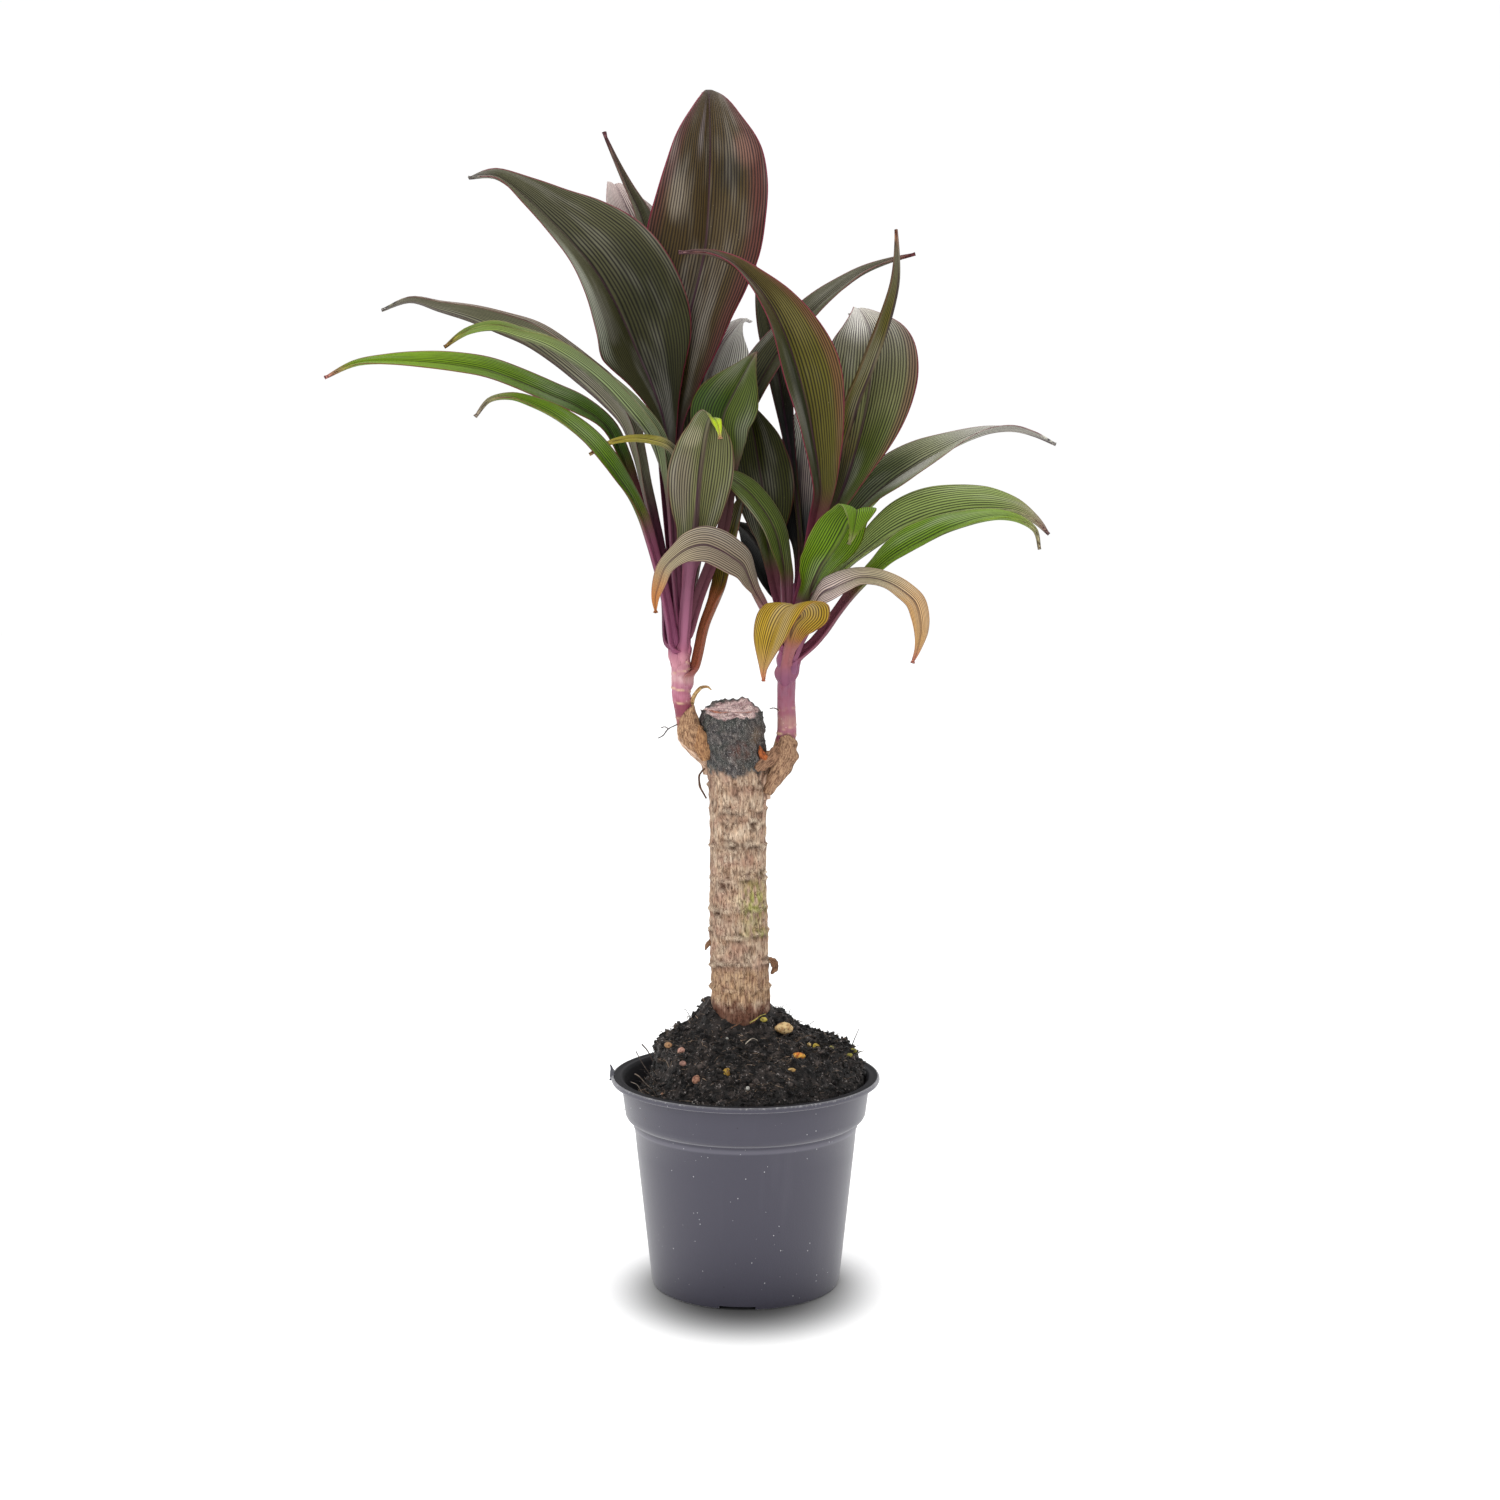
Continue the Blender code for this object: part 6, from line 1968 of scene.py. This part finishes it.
def cross_place(x):
    """Spaces a leaf's columns from its left margin, 1, to its right one, -1, closer by the rib."""
    t = 1.0 - 2.0 * x
    return t * (0.72 + 0.28 * abs(t))


def thicken(piece, spots, leaves):
    """Gives a leaf its thickness below its upper side, most along its midrib and stalk."""
    group = piece.vertex_groups.new(name="thick")
    for k, (row, t) in enumerate(spots):
        keel = KEEL_DEPTH * bump_at(t * half_width(row, t), KEEL_WIDTH) * row["blade"]
        thick = row["thick"] * (1.0 - EDGE_THINNING * t * t) + keel
        group.add([k], thick / leaves.stalk_thickness * THICK_SHARE, "REPLACE")
    add_modifier(piece, "SOLIDIFY", thickness=leaves.stalk_thickness / THICK_SHARE, offset=-1.0,
                 vertex_group="thick", thickness_vertex_group=THIN_SHARE, material_offset=1,
                 material_offset_rim=0, use_rim=True)


def model_leaf(name, look, seed, leaves):
    """A leaf as a grid bent along its node's midrib, given thickness, keel, ripple and colour."""
    leaf = read_leaf(name)
    shoot = "left_shoot" if "left" in name else "right_shoot"
    leaf["bands"] = SHOOT_LOOKS[shoot]["bands"]
    clasp_stem(leaf, node_sections(shoot))
    ribs = leaf["rib"]
    leaf["length"] = sum((b - a).length for a, b in zip(ribs, ribs[1:]))
    leaf["start"] = find_blade(leaf)
    rows = [leaf_row(leaf, look, j / LEAF_ROWS, leaves) for j in range(LEAF_ROWS + 1)]
    across = [cross_place(i / LEAF_COLUMNS) for i in range(LEAF_COLUMNS + 1)]
    spots = [(row, t) for row in rows for t in across]
    piece = add_grid(name.replace("leaf", "blade"), LEAF_COLUMNS, LEAF_ROWS)
    for vertex, (row, t) in zip(piece.data.vertices, spots):
        vertex.co = leaf_place(row, t, seed, leaves)
    paint_leaf(piece, spots, look, leaf, seed, leaves)
    thicken(piece, spots, leaves)
    shade(piece)
    return piece


def make_leaf_skin(leaves, under):
    """A leaf's skin: fine dark veins, streaks, a dark midrib and a thin crimson margin."""
    look = Look("leaf_under" if under else "leaf_top", Specular_IOR_Level=0.18)
    look.colour = look.attribute("under_tone" if under else "tone", "Color")
    vein, run = look.attribute("vein"), look.attribute("run")
    rib, rim = look.attribute("rib"), look.attribute("rim")
    blade = look.attribute("blade")
    place = look.place()
    wander = look.noise(look.point(vein * 0.35, run * 0.04, 0.0), 1.0, 2.0) * 0.9
    wave = look.math("COSINE", (vein + wander) * math.tau)
    line = (wave * 0.5 + 0.5) ** 2.6
    strength = look.step(look.noise(look.point(vein * 0.45, run * 0.03, 4.0), 1.0, 3.0), 0.25, 0.7)
    streak = look.noise(look.point(vein * 0.8, run * 0.02, 8.0), 1.0, 3.0, 0.6)
    cloud = look.noise(place, 55.0, 3.0, 0.55)
    depth = 0.45 if under else 1.0
    look.dye(look.step(streak, 0.42, 0.72) * 0.3, (1.28, 1.24, 1.3))
    look.dye(look.step(cloud, 0.4, 0.7) * 0.3, (0.8, 0.74, 0.76))
    sheen = look.step(look.noise(look.point(vein * 0.11, run * 0.022, 6.0), 1.0, 2.0), 0.48, 0.74)
    look.lay(sheen * blade * 0.26, (158, 156, 152))
    lines = line * (0.75 + strength * 0.25) * depth * (0.25 + blade * 0.75)
    look.dye(lines, (0.12, 0.08, 0.11))
    between = (0.5 - wave * 0.5) ** 2.0 * blade
    look.dye(between * 0.8, (1.8, 1.76, 1.6))
    fine = look.step(look.noise(look.point(vein * 5.0, run * 0.05, 1.0), 1.0, 2.0), 0.5, 0.75)
    look.dye(fine * 0.2, (0.7, 0.66, 0.68))
    rib_mask = look.step(rib, 1.15, 0.8) * look.attribute("ribbing")
    rib_colour = srgb(120, 84, 104) if under else leaves.rib
    look.colour = look.mix(rib_mask, look.colour, rib_colour)
    ragged = look.noise(place, 420.0, 2.0) * 0.35
    rim_mask = look.step(rim - ragged, 0.55, 0.15) * look.attribute("rimming")
    rim_mask = rim_mask * (0.25 + blade * 0.75)
    look.colour = look.mix(rim_mask * 0.85, look.colour, leaves.rim)
    fleck = look.step(look.cells(place, 330.0), 0.09, 0.04) * look.step(cloud, 0.5, 0.6)
    look.lay(fleck * 0.4, (150, 134, 110))
    rough = (0.56 if under else 0.44) + line * 0.08 + cloud * 0.12
    relief = streak * 0.5 - line * 0.8 + look.noise(place, 700.0, 2.0) * 0.4
    bump = look.bump(relief, 0.12 * MM, 0.8)
    return look.finish(Roughness=rough, Normal=bump)


class TI_PLANT_OT_leaves(bpy.types.Operator):
    """Model the leaves with their stalks."""

    bl_idname = "ti_plant.leaves"
    bl_label = "Leaves"

    def execute(self, context):
        leaves = context.scene.ti_plant.leaves
        skins = (make_leaf_skin(leaves, False), make_leaf_skin(leaves, True))
        for seed, name in enumerate(LEAF_LOOKS):
            piece = model_leaf(name, full_look(name), seed, leaves)
            settle(piece, SLOTS[name], (name,), *skins)
        return {"FINISHED"}


BACKDROP_SIZE = 12.0
# The floor's painted shadow and painted glow: where the shadow's middle lies, how it is squeezed
# sideways, and the distances over which the paper's colour and its glow rise.
SHADOW_MIDDLE = -16.0 * MM
SHADOW_SQUEEZE = 1.2
SHADOW_TONE = (26.0 * MM, 76.0 * MM)
SHADOW_GLOW = (46.0 * MM, 90.0 * MM)
SENSOR_WIDTH = 36.0
CAMERA_SIDE = 2.0 * MM

# The studio's lights: where each stands, where it shines, its size and its power.
LIGHTS = {
    "overhead": ((0.0, 0.1, 1.6), (0.0, 0.0, 0.0), 0.8, 9.0),
    "key": ((-0.7, -1.1, 1.1), (0.0, 0.0, 0.25), 0.9, 4.0),
}


def make_backdrop():
    """White paper that glows a little away from the pot, as painted glow, and darker round the pot's
    foot in a painted soft shadow.
    """
    look = Look("paper", Specular_IOR_Level=0.0, Roughness=1.0, Emission_Strength=1.0)
    x, y, _ = look.parts(look.place())
    sideways, nearer = x * SHADOW_SQUEEZE, y - SHADOW_MIDDLE
    away = (sideways * sideways + nearer * nearer) ** 0.5
    glow = look.mix(look.step(away, *SHADOW_GLOW), (0.0, 0.0, 0.0), (0.36, 0.36, 0.36))
    look.colour = look.mix(look.step(away, *SHADOW_TONE), (0.1, 0.1, 0.1), (0.8, 0.8, 0.8))
    return look.finish(Emission_Color=glow)


def add_light(name, place, aim, size, power):
    """A square soft light that shines from a place at an aim."""
    lamp = bpy.data.lights.new(name, "AREA")
    lamp.shape = "SQUARE"
    lamp.size = size
    lamp.energy = power
    item = bpy.data.objects.new(name, lamp)
    item.location = place
    item.rotation_euler = (Vector(aim) - Vector(place)).to_track_quat("-Z", "Y").to_euler()
    bpy.context.scene.collection.objects.link(item)


class TI_PLANT_OT_stage(bpy.types.Operator):
    """Set up the floor, the light and the camera."""

    bl_idname = "ti_plant.stage"
    bl_label = "Stage"

    def execute(self, context):
        stage = context.scene.ti_plant.stage
        clear_selection()
        bpy.ops.mesh.primitive_plane_add(size=BACKDROP_SIZE, location=(0.0, 0.0, 0.0))
        floor = named("paper_floor")
        floor.data.materials.append(make_backdrop())
        world = bpy.data.worlds.new("surround")
        world.use_nodes = True
        light = world.node_tree.nodes["Background"].inputs
        light["Color"].default_value = (1.0, 1.0, 1.0, 1.0)
        light["Strength"].default_value = stage.surround
        context.scene.world = world
        context.scene.view_settings.view_transform = "Standard"
        context.scene.view_settings.look = "None"
        for name, (place, aim, size, power) in LIGHTS.items():
            add_light(name, place, aim, size, power)
        shot = bpy.data.cameras.new("front")
        shot.lens = stage.lens
        shot.sensor_width = SENSOR_WIDTH
        camera = bpy.data.objects.new("front", shot)
        camera.location = (CAMERA_SIDE, -stage.camera_distance, stage.camera_height)
        camera.rotation_euler = (math.pi / 2 - stage.camera_tilt, 0.0, 0.0)
        context.scene.collection.objects.link(camera)
        context.scene.camera = camera
        return {"FINISHED"}


class TI_PLANT_PT_panel(bpy.types.Panel):
    """Lists the settings and the steps."""

    bl_label = "Ti Plant"
    bl_idname = "TI_PLANT_PT_panel"
    bl_space_type = "VIEW_3D"
    bl_region_type = "UI"
    bl_category = "Ti Plant"

    def draw(self, context):
        settings = context.scene.ti_plant
        for key in ("pot", "soil", "cane", "leaves", "stage"):
            box = self.layout.box()
            box.label(text=key.title())
            group = getattr(settings, key)
            for name in group.__annotations__:
                box.prop(group, name)
        for step in STEPS:
            self.layout.operator("ti_plant." + step)


CLASSES = (
    PotSettings, SoilSettings, CaneSettings, LeafSettings, StageSettings, TiPlantSettings,
    TI_PLANT_OT_pot, TI_PLANT_OT_soil, TI_PLANT_OT_grains, TI_PLANT_OT_cane, TI_PLANT_OT_shoots,
    TI_PLANT_OT_scraps, TI_PLANT_OT_leaves, TI_PLANT_OT_stage, TI_PLANT_PT_panel,
)
STEPS = ("pot", "soil", "grains", "cane", "shoots", "scraps", "leaves", "stage")


def register():
    for cls in CLASSES:
        bpy.utils.register_class(cls)
    bpy.types.Scene.ti_plant = bpy.props.PointerProperty(type=TiPlantSettings)


def unregister():
    del bpy.types.Scene.ti_plant
    for cls in reversed(CLASSES):
        bpy.utils.unregister_class(cls)


def main():
    """Makes every piece in order."""
    register()
    for step in STEPS:
        getattr(bpy.ops.ti_plant, step)()


if __name__ == "__main__":
    main()
